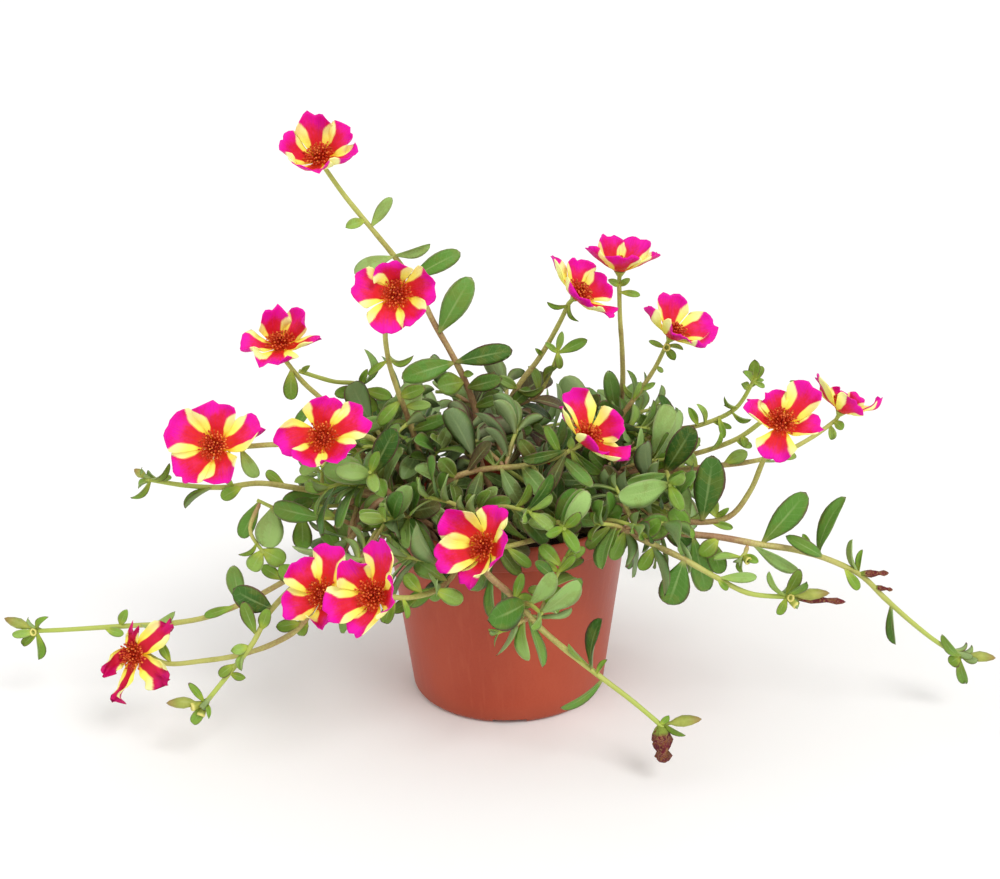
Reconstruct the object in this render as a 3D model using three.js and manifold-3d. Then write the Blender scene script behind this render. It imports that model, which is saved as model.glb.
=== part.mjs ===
// A portulaca (large-flowered purslane) in the 12 cm plastic pot that it was grown in.
// Millimetres, +Z up. The origin is the middle of the pot's underside, and the plant's
// front looks along -Y. The plant is a soil-filled pot, leafy stems that stand in the soil
// and arch or trail over the rim, and a bloom of petals round a tuft of stamens on most tips.

import * as THREE from 'three';
import { mergeVertices } from 'three/addons/utils/BufferGeometryUtils.js';
import Module from 'manifold-3d';

const wasm = await Module();
wasm.setup();

// ---------------------------------------------------------------- driving dimensions (mm)

const RIM_RADIUS = 60;
const POT_HEIGHT = 95;
const COLLAR_HEIGHT = 83;
const COLLAR_STEP = 1.3;
const COLLAR_RADIUS = 58.6;
const BASE_RADIUS = 46.6;
const BASE_FILLET = 3.6;
const WALL = 1.8;
const FLOOR = 4.6;
const RIM_BEVEL = { height: 0.8, depth: 0.6 };
const POT_FACETS = 32;
const NOTCH = { width: 16, height: 2.2, depth: 11 };
const DRAIN = { radius: 3.2, fromAxis: 39 };

const FIT_GAP = 0.3;
const SOIL_TOP = 82;
const ROOT_DEPTH = 11;
const HOLE_SIDES = 5;

const STEM_SIDES = 4;
const STEM_STEP = 17;
const TWIG_SIDES = 3;
const TWIG_STEP = 16;
const BUD_SIDES = 5;
const TWIG_RADIUS = 0.95;

// A leaf's edge stands above its middle line, and its keel is deepest near the stalk.
const LEAF_THICKNESS = 1.3;
const LEAF_EDGE_RISE = 0.43;
const LEAF_KEEL = { depth: 1.3, taper: 0.5 };
const ROOT_SINK = 1.1;

const EYE_RADIUS = 3.2;
const EYE_THICKNESS = 1.5;
const CALYX = { length: 4.2, neck: 2.52, top: 3.1, bottom: 1.2 };

// A petal leaves the eye flat, bends up after `out` of its reach, and its sides curl up.
const PETAL_THICKNESS = 1.0;
const PETAL_BASE_SHARE = 0.8;
const PETAL_BEND = { out: 0.36, up: 0.1 };
const PETAL_CURL = 0.22;
const PETAL_ROOM = 0.45;

const STAMEN_SPIKES = 4;
const STAMENS = {
  height: 6.6,
  foot: 2.3,
  spike: { radius: 3.1, height: 5.4 },
  valley: { radius: 2.2, height: 2.6 },
  dip: { radius: 1.3, height: 3.4 },
};

// Leaves of the bush that fills the middle of the plant.
const BUSH = { radius: 92, height: 54, middle: 92, heart: 0.4, rim: 0.6 };

// ---------------------------------------------------------------- the front drawing
//
// Stems, leaves and blooms are set out on a front drawing, seen from a little above. Its
// units run right (u) and down (v), and a third number gives how far behind the pot's axis
// (y, in mm) the point lies; a negative one lies in front.

const DRAWING = {
  middle: new THREE.Vector2(500, 439.5),
  lens: 1490,
  distance: 700,
  rise: THREE.MathUtils.degToRad(19.5),
  roll: THREE.MathUtils.degToRad(0.8),
  aim: new THREE.Vector3(-2.7, 0, 125),
};

const TO_VIEWER = new THREE.Vector3(0, -Math.cos(DRAWING.rise), Math.sin(DRAWING.rise));
const DRAWN_RIGHT = new THREE.Vector3(1, 0, 0);
const DRAWN_UP = new THREE.Vector3(0, Math.sin(DRAWING.rise), Math.cos(DRAWING.rise));
const VIEWER = DRAWING.aim.clone().addScaledVector(TO_VIEWER, DRAWING.distance);

function at(u, v, y) {
  const right = u - DRAWING.middle.x;
  const up = DRAWING.middle.y - v;
  const cos = Math.cos(DRAWING.roll);
  const sin = Math.sin(DRAWING.roll);
  const ray = TO_VIEWER.clone().multiplyScalar(-DRAWING.lens);
  ray.addScaledVector(DRAWN_RIGHT, cos * right + sin * up);
  ray.addScaledVector(DRAWN_UP, cos * up - sin * right);
  return VIEWER.clone().addScaledVector(ray, (y - VIEWER.y) / ray.y);
}

function drawn(point) {
  const ray = point.clone().sub(VIEWER);
  const depth = -ray.dot(TO_VIEWER);
  const right = (ray.dot(DRAWN_RIGHT) / depth) * DRAWING.lens;
  const up = (ray.dot(DRAWN_UP) / depth) * DRAWING.lens;
  const cos = Math.cos(DRAWING.roll);
  const sin = Math.sin(DRAWING.roll);
  return new THREE.Vector2(
    DRAWING.middle.x + cos * right - sin * up,
    DRAWING.middle.y - (sin * right + cos * up),
  );
}

// ---------------------------------------------------------------- small helpers

function randomFrom(seed) {
  let state = seed;
  return () => {
    state = (state + 0x6d2b79f5) | 0;
    let mixed = Math.imul(state ^ (state >>> 15), 1 | state);
    mixed = (mixed + Math.imul(mixed ^ (mixed >>> 7), 61 | mixed)) ^ mixed;
    return ((mixed ^ (mixed >>> 14)) >>> 0) / 4294967296;
  };
}

const between = (random, low, high) => low + (high - low) * random();

function acrossFrom(axis, wanted) {
  return wanted.clone().addScaledVector(axis, -axis.dot(wanted)).normalize();
}

function anyAcross(axis) {
  const helper = Math.abs(axis.z) < 0.9 ? new THREE.Vector3(0, 0, 1) : new THREE.Vector3(1, 0, 0);
  return acrossFrom(axis, helper);
}

function toManifold(geometry) {
  const bare = geometry.clone();
  bare.deleteAttribute('normal');
  bare.deleteAttribute('uv');
  const merged = mergeVertices(bare, 1e-4);
  const corners = Array.from(merged.index.array);
  const faces = [];
  for (let first = 0; first < corners.length; first += 3) {
    const face = corners.slice(first, first + 3);
    if (new Set(face).size === 3) faces.push(...face);
  }
  return new wasm.Manifold(new wasm.Mesh({
    numProp: 3,
    vertProperties: merged.attributes.position.array,
    triVerts: new Uint32Array(faces),
  }));
}

function toGeometry(manifold) {
  const mesh = manifold.getMesh();
  const geometry = new THREE.BufferGeometry();
  geometry.setAttribute('position', new THREE.BufferAttribute(mesh.vertProperties, 3));
  geometry.setIndex(new THREE.BufferAttribute(mesh.triVerts, 1));
  geometry.computeVertexNormals();
  return geometry;
}

function solidFrom(points, faces) {
  const geometry = new THREE.BufferGeometry();
  geometry.setFromPoints(points);
  geometry.setIndex(faces.flat());
  return toManifold(geometry);
}

function largestBody(manifold) {
  const bodies = manifold.decompose();
  return bodies.reduce((best, body) => (body.volume() > best.volume() ? body : best));
}

// ---------------------------------------------------------------- pot and soil

// The radius just under the collar's step.
const NECK_RADIUS = COLLAR_RADIUS - COLLAR_STEP;

function potRadius(z) {
  const rise = Math.min(z, COLLAR_HEIGHT) / COLLAR_HEIGHT;
  const below = BASE_RADIUS + (NECK_RADIUS - BASE_RADIUS) * rise;
  if (z < COLLAR_HEIGHT) return below;
  const collarRise = (z - COLLAR_HEIGHT) / (POT_HEIGHT - COLLAR_HEIGHT);
  return COLLAR_RADIUS + (RIM_RADIUS - COLLAR_RADIUS) * collarRise;
}

// The inside of the wall, which has no step.
function innerRadius(z) {
  return (z < COLLAR_HEIGHT ? potRadius(z) : NECK_RADIUS) - WALL;
}

function lathe(profile) {
  const points = profile.map(([radius, z]) => new THREE.Vector2(radius, z));
  const geometry = new THREE.LatheGeometry(points, POT_FACETS);
  geometry.rotateX(Math.PI / 2);
  return toManifold(geometry);
}

function makePot() {
  const filletSteps = 2;
  const profile = [[0, 0]];
  for (let step = 0; step <= filletSteps; step += 1) {
    const turn = (Math.PI / 2) * (step / filletSteps);
    profile.push([
      potRadius(BASE_FILLET) - BASE_FILLET * (1 - Math.sin(turn)),
      BASE_FILLET * (1 - Math.cos(turn)),
    ]);
  }
  profile.push([NECK_RADIUS, COLLAR_HEIGHT]);
  profile.push([COLLAR_RADIUS, COLLAR_HEIGHT + RIM_BEVEL.height]);
  profile.push([RIM_RADIUS, POT_HEIGHT - RIM_BEVEL.height]);
  profile.push([RIM_RADIUS - RIM_BEVEL.depth, POT_HEIGHT]);
  profile.push([RIM_RADIUS - WALL, POT_HEIGHT]);
  profile.push([innerRadius(COLLAR_HEIGHT), COLLAR_HEIGHT]);
  profile.push([innerRadius(FLOOR), FLOOR]);
  profile.push([0, FLOOR]);
  let pot = lathe(profile);
  for (let side = 0; side < 4; side += 1) {
    const turn = (Math.PI / 2) * side;
    const notch = new THREE.BoxGeometry(NOTCH.width, NOTCH.depth * 2, NOTCH.height * 2);
    notch.translate(0, -BASE_RADIUS, 0);
    notch.rotateZ(turn);
    pot = pot.subtract(toManifold(notch));
    const drain = new THREE.CylinderGeometry(DRAIN.radius, DRAIN.radius, FLOOR * 3, 8);
    drain.rotateX(Math.PI / 2);
    drain.translate(0, -DRAIN.fromAxis, 0);
    drain.rotateZ(turn);
    pot = pot.subtract(toManifold(drain));
  }
  return pot;
}

function makeSoil(roots) {
  let soil = lathe([
    [0, FLOOR + FIT_GAP],
    [innerRadius(FLOOR + FIT_GAP) - FIT_GAP, FLOOR + FIT_GAP],
    [innerRadius(SOIL_TOP) - FIT_GAP, SOIL_TOP],
    [0, SOIL_TOP],
  ]);
  for (const root of roots) {
    const hole = new THREE.CylinderGeometry(root.radius, root.radius, ROOT_DEPTH * 2, HOLE_SIDES);
    hole.rotateX(Math.PI / 2);
    hole.translate(root.x, root.y, SOIL_TOP - FIT_GAP);
    soil = soil.subtract(toManifold(hole));
  }
  return soil;
}

// ---------------------------------------------------------------- stems

// A path is a list of steps along a curve, each with its place, its heading, two directions
// across it, the stem's radius there and its number of sides.
function pathThrough(points, startRadius, endRadius, stepLength, sides) {
  const curve = new THREE.CatmullRomCurve3(points, false, 'catmullrom', 0.5);
  const spans = points.length - 1;
  const reached = [0];
  for (let span = 0; span < spans; span += 1) {
    reached.push(reached[span] + points[span].distanceTo(points[span + 1]));
  }
  const count = Math.max(2, Math.round(reached[spans] / stepLength));
  const places = [];
  let span = 0;
  for (let index = 0; index <= count; index += 1) {
    const wanted = (reached[spans] * index) / count;
    while (span < spans - 1 && reached[span + 1] < wanted) span += 1;
    const part = (wanted - reached[span]) / (reached[span + 1] - reached[span]);
    places.push(curve.getPoint((span + part) / spans));
  }
  let across = null;
  return places.map((place, index) => {
    const before = places[Math.max(index - 1, 0)];
    const after = places[Math.min(index + 1, count)];
    const heading = after.clone().sub(before).normalize();
    across = across ? acrossFrom(heading, across) : anyAcross(heading);
    return {
      place,
      heading,
      across,
      beside: across.clone().cross(heading),
      radius: startRadius + ((endRadius - startRadius) * index) / count,
      sides,
    };
  });
}

// The spot a part of the way from one step of a path to the next.
function spotOn(path, index, part) {
  const from = path[index];
  const to = path[index + 1];
  return {
    place: from.place.clone().lerp(to.place, part),
    heading: to.place.clone().sub(from.place).normalize(),
    across: from.across.clone().lerp(to.across, part).normalize(),
    beside: from.beside.clone().lerp(to.beside, part).normalize(),
    radius: THREE.MathUtils.lerp(from.radius, to.radius, part),
    sides: from.sides,
    part,
  };
}

function outwards(spot, turn) {
  return spot.across.clone().multiplyScalar(Math.sin(turn))
    .addScaledVector(spot.beside, Math.cos(turn));
}

// Where something that grows towards a direction leaves the stem: a point on the flat that
// looks that way, in the wider of the flat's two triangles.
function footAt(spot, direction) {
  const fullTurn = Math.PI * 2;
  const turn = Math.atan2(direction.dot(spot.across), direction.dot(spot.beside)) + fullTurn;
  const side = Math.floor((turn * spot.sides) / fullTurn);
  const middle = ((side + 0.5) * fullTurn) / spot.sides;
  const halfFlat = spot.radius * Math.sin(Math.PI / spot.sides);
  const shift = spot.part < 0.5 ? spot.part : spot.part - 1;
  return spot.place.clone()
    .addScaledVector(outwards(spot, middle), spot.radius * Math.cos(Math.PI / spot.sides))
    .addScaledVector(outwards(spot, middle + Math.PI / 2), halfFlat * shift);
}

function tube(path) {
  const rings = path.length - 1;
  const geometry = new THREE.CylinderGeometry(1, 1, 1, path[0].sides, rings);
  const position = geometry.attributes.position;
  for (let index = 0; index < position.count; index += 1) {
    const step = path[Math.round((position.getY(index) + 0.5) * rings)];
    const point = step.place.clone();
    point.addScaledVector(step.across, position.getX(index) * step.radius);
    point.addScaledVector(step.beside, position.getZ(index) * step.radius);
    position.setXYZ(index, point.x, point.y, point.z);
  }
  return toManifold(geometry);
}

// ---------------------------------------------------------------- leaves

// Stations along a leaf: the way along it and the share of its full width there. The last
// pair is the blunt tip. A leaf is flat above and keeled below.
const LONG_LENGTH = 30;
const LONG_LEAF = { stations: [[0.34, 0.52], [0.72, 1.0]], tip: [0.98, 0.5] };
const SHORT_LEAF = { stations: [[0.64, 1.0]], tip: [0.98, 0.5] };

// A leaf from root to tip: `face` is the way its upper side looks, and `bow` is how far its
// middle stands off the straight line, as a share of the length.
function leafPlace(leaf, along, beside, above) {
  const lift = leaf.bow * leaf.length * 4 * along * (1 - along);
  return leaf.root.clone()
    .addScaledVector(leaf.axis, leaf.length * along)
    .addScaledVector(leaf.side, beside)
    .addScaledVector(leaf.face, above + lift);
}

function makeLeaf(root, tip, facing, width, bow) {
  const axis = tip.clone().sub(root);
  const length = axis.length();
  axis.normalize();
  const face = acrossFrom(axis, facing);
  const side = face.clone().cross(axis);
  return { root, axis, face, side, length, width, bow };
}

function leafSolid(leaf, shape) {
  const points = [leaf.root.clone().addScaledVector(leaf.axis, -ROOT_SINK)];
  for (const [along, share] of shape.stations) {
    const half = (leaf.width / 2) * share;
    const keel = LEAF_THICKNESS * (LEAF_KEEL.depth - LEAF_KEEL.taper * along);
    points.push(leafPlace(leaf, along, half, LEAF_EDGE_RISE));
    points.push(leafPlace(leaf, along, -half, LEAF_EDGE_RISE));
    points.push(leafPlace(leaf, along, 0, -keel));
  }
  const [tipAlong, tipShare] = shape.tip;
  points.push(leafPlace(leaf, tipAlong, (leaf.width / 2) * tipShare, 0));
  points.push(leafPlace(leaf, tipAlong, (-leaf.width / 2) * tipShare, 0));
  const faces = [[0, 2, 1], [0, 1, 3], [0, 3, 2]];
  for (let row = 0; row < shape.stations.length - 1; row += 1) {
    const [left, right, under] = [1, 2, 3].map((corner) => row * 3 + corner);
    const [nextLeft, nextRight, nextUnder] = [4, 5, 6].map((corner) => row * 3 + corner);
    faces.push([left, right, nextRight], [left, nextRight, nextLeft]);
    faces.push([under, left, nextLeft], [under, nextLeft, nextUnder]);
    faces.push([right, under, nextUnder], [right, nextUnder, nextRight]);
  }
  const last = shape.stations.length * 3;
  const [left, right, under, tipLeft, tipRight] = [last - 2, last - 1, last, last + 1, last + 2];
  faces.push([left, right, tipRight], [left, tipRight, tipLeft]);
  faces.push([under, left, tipLeft], [under, tipLeft, tipRight], [right, under, tipRight]);
  return solidFrom(points, faces);
}

// ---------------------------------------------------------------- buds and spent flowers

const BUD_PROFILE = [[0, 0], [0.75, 0.16], [1, 0.42], [0.62, 0.78], [0, 1]];
const SPENT_PROFILE = [[0, 0], [0.7, 0.2], [1, 0.5], [0.55, 0.72], [0.85, 0.9], [0, 1]];

function turnedAlong(root, tip, width, profile) {
  const length = root.distanceTo(tip);
  const points = profile.map(([radius, along]) => new THREE.Vector2((radius * width) / 2, along * length));
  const geometry = new THREE.LatheGeometry(points, BUD_SIDES);
  const turn = new THREE.Quaternion().setFromUnitVectors(
    new THREE.Vector3(0, 1, 0),
    tip.clone().sub(root).normalize(),
  );
  geometry.applyQuaternion(turn);
  geometry.translate(root.x, root.y, root.z);
  return toManifold(geometry);
}

// ---------------------------------------------------------------- blooms

// Stations along a petal: the way along it and the share of its full width there.
const PETAL_STATIONS = [[0.42, 0.86], [0.8, 1.0]];
const SHORT_WAY = 0.02;
const PETAL_TIP = { side: 0.58, along: 0.99, notch: 0.93, lifts: [0.8, -0.4] };

// The petals of a bloom, in order round it. Each runs from the eye of the bloom to its tip
// along a curve that first leaves flat and then turns up.
function petalsOf(bloom) {
  const around = bloom.petals.map((petal) => {
    const tip = petalTip(bloom, petal);
    const out = tip.clone().sub(bloom.place);
    const turn = Math.atan2(out.dot(bloom.up), out.dot(bloom.right));
    return { tip, turn, width: petal[3] * PETAL_FULLNESS };
  });
  around.sort((one, other) => one.turn - other.turn);
  const fifth = (Math.PI * 2) / around.length;
  const drift = around.map((petal, index) => petal.turn - index * fifth);
  const offset = drift.reduce((sum, turn) => sum + turn, 0) / around.length;
  return around.map((petal, index) => {
    const turn = offset + index * fifth;
    const out = bloom.right.clone().multiplyScalar(Math.cos(turn))
      .addScaledVector(bloom.up, Math.sin(turn));
    const base = bloom.place.clone().addScaledVector(out, EYE_RADIUS);
    const reach = base.distanceTo(petal.tip);
    const bend = base.clone().addScaledVector(out, reach * PETAL_BEND.out)
      .addScaledVector(bloom.facing, reach * PETAL_BEND.up);
    return { ...petal, turn, out, base, bend };
  });
}

// A petal's tip is drawn at (u, v). It lies as far from the eye as the petal is long, on the
// viewer's side of it or the far side.
function petalTip(bloom, [u, v, near, , length = bloom.reach]) {
  const flat = at(u, v, bloom.place.y).sub(bloom.place);
  flat.addScaledVector(TO_VIEWER, -flat.dot(TO_VIEWER));
  const rest = Math.sqrt(Math.max(length * length - flat.lengthSq(), 0));
  return bloom.place.clone().add(flat).addScaledVector(TO_VIEWER, near * rest);
}

function alongPetal(petal, along) {
  const back = 1 - along;
  return petal.base.clone().multiplyScalar(back * back)
    .addScaledVector(petal.bend, 2 * along * back)
    .addScaledVector(petal.tip, along * along);
}

function petalFrame(bloom, petal, along) {
  const place = alongPetal(petal, along);
  const before = alongPetal(petal, along - SHORT_WAY);
  const heading = alongPetal(petal, along + SHORT_WAY).sub(before).normalize();
  const face = acrossFrom(heading, bloom.facing.clone().sub(petal.out));
  return { place, face, side: face.clone().cross(heading) };
}

function halfWidthAt(petals, index, along, share) {
  const own = alongPetal(petals[index], along);
  const count = petals.length;
  const left = alongPetal(petals[(index + 1) % count], along).distanceTo(own);
  const right = alongPetal(petals[(index + count - 1) % count], along).distanceTo(own);
  return Math.min((petals[index].width / 2) * share, PETAL_ROOM * Math.min(left, right));
}

function corollaSolid(bloom) {
  const petals = petalsOf(bloom);
  const points = [
    bloom.place.clone().addScaledVector(bloom.facing, EYE_THICKNESS / 2),
    bloom.place.clone().addScaledVector(bloom.facing, -EYE_THICKNESS / 2),
  ];
  const faces = [];
  const both = (top, under, [one, two, three]) => {
    faces.push([top(one), top(two), top(three)]);
    faces.push([under(one), under(three), under(two)]);
  };
  const starts = [];
  petals.forEach((petal, index) => {
    const start = points.length;
    starts.push(start);
    const halfBase = (Math.PI / petals.length) * PETAL_BASE_SHARE;
    for (const sign of [1, -1]) {
      const turn = petal.turn + sign * halfBase;
      points.push(bloom.place.clone()
        .addScaledVector(bloom.right, EYE_RADIUS * Math.cos(turn))
        .addScaledVector(bloom.up, EYE_RADIUS * Math.sin(turn)));
    }
    points.push(petal.base.clone().addScaledVector(bloom.facing, PETAL_THICKNESS / 2));
    points.push(petal.base.clone().addScaledVector(bloom.facing, -PETAL_THICKNESS / 2));
    for (const [along, share] of PETAL_STATIONS) {
      const frame = petalFrame(bloom, petal, along);
      const half = halfWidthAt(petals, index, along, share);
      for (const sign of [1, -1]) {
        points.push(frame.place.clone()
          .addScaledVector(frame.side, sign * half)
          .addScaledVector(frame.face, half * PETAL_CURL));
      }
      points.push(frame.place.clone().addScaledVector(frame.face, PETAL_THICKNESS / 2));
      points.push(frame.place.clone().addScaledVector(frame.face, -PETAL_THICKNESS / 2));
    }
    const end = petalFrame(bloom, petal, PETAL_TIP.along);
    const halfEnd = halfWidthAt(petals, index, PETAL_TIP.along, PETAL_TIP.side);
    PETAL_TIP.lifts.forEach((lift, side) => {
      points.push(end.place.clone()
        .addScaledVector(end.side, side === 0 ? halfEnd : -halfEnd)
        .addScaledVector(end.face, lift));
    });
    points.push(alongPetal(petal, PETAL_TIP.notch));
  });
  petals.forEach((petal, index) => {
    const start = starts[index];
    const next = starts[(index + 1) % petals.length];
    const top = (corner) => (corner >= 0 ? start + corner : corner === -1 ? 0 : next + 1);
    const under = (corner) => {
      if (corner === -1) return 1;
      if (corner === -2) return next + 1;
      const isRib = corner === 2 || corner === 6 || corner === 10;
      return start + corner + (isRib ? 1 : 0);
    };
    both(top, under, [-1, 1, 2]);
    both(top, under, [-1, 2, 0]);
    both(top, under, [-1, 0, -2]);
    for (const row of [0, 4]) {
      both(top, under, [row + 2, row + 6, row + 4]);
      both(top, under, [row + 2, row + 4, row]);
      both(top, under, [row + 1, row + 5, row + 6]);
      both(top, under, [row + 1, row + 6, row + 2]);
    }
    both(top, under, [10, 14, 12]);
    both(top, under, [10, 12, 8]);
    both(top, under, [9, 13, 10]);
    both(top, under, [13, 14, 10]);
  });
  return solidFrom(points, faces);
}

// The tuft of stamens: a dome that rises to points round a taller middle one.
function stamenSolid(bloom) {
  const around = STAMEN_SPIKES * 2;
  const place = (radius, index, height) => bloom.place.clone()
    .addScaledVector(bloom.right, radius * Math.cos((Math.PI * index) / STAMEN_SPIKES))
    .addScaledVector(bloom.up, radius * Math.sin((Math.PI * index) / STAMEN_SPIKES))
    .addScaledVector(bloom.facing, height);
  const bottom = EYE_THICKNESS / 2 + FIT_GAP + 0.1;
  const points = [place(0, 0, bottom), place(0, 0, STAMENS.height)];
  const foot = points.length;
  for (let index = 0; index < around; index += 1) points.push(place(STAMENS.foot, index, bottom));
  const crown = points.length;
  for (let index = 0; index < around; index += 1) {
    const { radius, height } = index % 2 === 0 ? STAMENS.spike : STAMENS.valley;
    points.push(place(radius, index, height));
  }
  const dip = points.length;
  for (let index = 0; index < STAMEN_SPIKES; index += 1) {
    points.push(place(STAMENS.dip.radius, index * 2 + 1, STAMENS.dip.height));
  }
  const faces = [];
  for (let index = 0; index < around; index += 1) {
    const next = (index + 1) % around;
    faces.push([0, foot + next, foot + index]);
    faces.push([foot + index, foot + next, crown + next], [foot + index, crown + next, crown + index]);
  }
  for (let index = 0; index < STAMEN_SPIKES; index += 1) {
    const next = (index + 1) % STAMEN_SPIKES;
    const [spike, valley, nextSpike] = [crown + index * 2, crown + index * 2 + 1, crown + next * 2];
    faces.push([spike, valley, dip + index], [valley, nextSpike, dip + index]);
    faces.push([dip + index, nextSpike, dip + next], [dip + index, dip + next, 1]);
  }
  return solidFrom(points, faces);
}

// ---------------------------------------------------------------- keeping pieces clear
//
// Every blade and stem is sampled as small balls. A new leaf or twig is only placed where
// its balls stay off those of the other stems and blooms, off the pot and off the ground.

const CELL = 4.4;
const BALL_STEP = 2.2;
const BLADE_BALL = 1.25;
const STEM_MARGIN = 0.9;
const PETAL_MARGIN = 0.3;
const POT_MARGIN = 0.6;
const GROUND_MARGIN = 1;
const OWN_ROOM = 2.0;
const STALK_BALLS = [0.12, 0.24];

// A leaf's blade, as the balls see it: where it starts and ends along the leaf, its share of
// the full width there, and how fast it widens and narrows.
const BLADE = { start: 0.35, end: 0.99, least: 0.5, widen: 1.6, narrow: 2.2 };
const BLOOM_ROWS = 9;
const BLOOM_COLUMNS = 3;

class Space {
  constructor() {
    this.cells = new Map();
  }

  static key(x, y, z) {
    return ((x + 200) * 400 + (y + 200)) * 400 + (z + 200);
  }

  add(balls, owner) {
    for (const ball of balls) {
      const [x, y, z] = ball.place.toArray().map((value) => Math.floor(value / CELL));
      const key = Space.key(x, y, z);
      if (!this.cells.has(key)) this.cells.set(key, []);
      this.cells.get(key).push({ ...ball, owner });
    }
  }

  isClear(balls, owner) {
    return balls.every((ball) => this.isBallClear(ball, owner));
  }

  isBallClear(ball, owner) {
    if (hitsPot(ball)) return false;
    const [x, y, z] = ball.place.toArray().map((value) => Math.floor(value / CELL));
    for (let dx = -1; dx <= 1; dx += 1) {
      for (let dy = -1; dy <= 1; dy += 1) {
        for (let dz = -1; dz <= 1; dz += 1) {
          for (const other of this.cells.get(Space.key(x + dx, y + dy, z + dz)) ?? []) {
            const own = other.owner === owner;
            if (own && !(ball.blade && other.blade)) continue;
            const room = own ? OWN_ROOM : ball.size + other.size;
            if (ball.place.distanceToSquared(other.place) < room * room) return false;
          }
        }
      }
    }
    return true;
  }
}

function hitsPot(ball) {
  const { x, y, z } = ball.place;
  const fromAxis = Math.hypot(x, y);
  const room = ball.size + POT_MARGIN;
  if (z < GROUND_MARGIN + room) return true;
  if (z > POT_HEIGHT + room) return false;
  if (fromAxis < COLLAR_RADIUS - 3 * WALL - room) return z < SOIL_TOP + room;
  return fromAxis < potRadius(z) + room;
}

function isBuried({ x, y, z }) {
  return z < SOIL_TOP + ABOVE_SOIL.stem && Math.hypot(x, y) < RIM_RADIUS;
}

function bladeBalls(leaf) {
  const balls = [];
  const { start, end, least, widen, narrow } = BLADE;
  const lengthSteps = Math.ceil((leaf.length * (1 - start)) / BALL_STEP);
  for (const along of STALK_BALLS) {
    balls.push({ place: leafPlace(leaf, along, 0, 0), size: BLADE_BALL, blade: false });
  }
  for (let row = 0; row <= lengthSteps; row += 1) {
    const along = start + ((end - start) * row) / lengthSteps;
    const share = Math.min(1, least + (along - start) * widen, least + (1 - along) * narrow);
    const half = (leaf.width / 2) * share;
    const sideSteps = Math.ceil(half / BALL_STEP);
    for (let column = -sideSteps; column <= sideSteps; column += 1) {
      const beside = (half * column) / sideSteps;
      balls.push({ place: leafPlace(leaf, along, beside, 0), size: BLADE_BALL, blade: true });
    }
  }
  return balls;
}

function pathBalls(path) {
  const balls = [];
  for (let index = 1; index < path.length; index += 1) {
    const from = path[index - 1];
    const to = path[index];
    const count = Math.ceil(from.place.distanceTo(to.place) / BALL_STEP);
    for (let part = 0; part < count; part += 1) {
      const place = from.place.clone().lerp(to.place, part / count);
      if (!isBuried(place)) balls.push({ place, size: to.radius + STEM_MARGIN, blade: false });
    }
  }
  return balls;
}

function bloomBalls(bloom) {
  const petals = petalsOf(bloom);
  const balls = [];
  petals.forEach((petal, index) => {
    for (let row = 0; row <= BLOOM_ROWS; row += 1) {
      const along = row / BLOOM_ROWS;
      const frame = petalFrame(bloom, petal, Math.min(Math.max(along, SHORT_WAY), 1 - SHORT_WAY));
      const half = halfWidthAt(petals, index, along, 1);
      for (let column = -BLOOM_COLUMNS; column <= BLOOM_COLUMNS; column += 1) {
        const place = frame.place.clone().addScaledVector(frame.side, (half * column) / BLOOM_COLUMNS);
        balls.push({ place, size: BLADE_BALL + PETAL_MARGIN, blade: false });
      }
    }
  });
  return balls;
}

// ---------------------------------------------------------------- the blooms' places
//
// place: the bloom's eye on the drawing. facing: how far it looks right, up and to the
// viewer. petals: each tip's u and v, 1 for a petal that leans to the viewer or -1 for one
// that leans away (or a part of that), its width, and its length where it isn't the reach.

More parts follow.
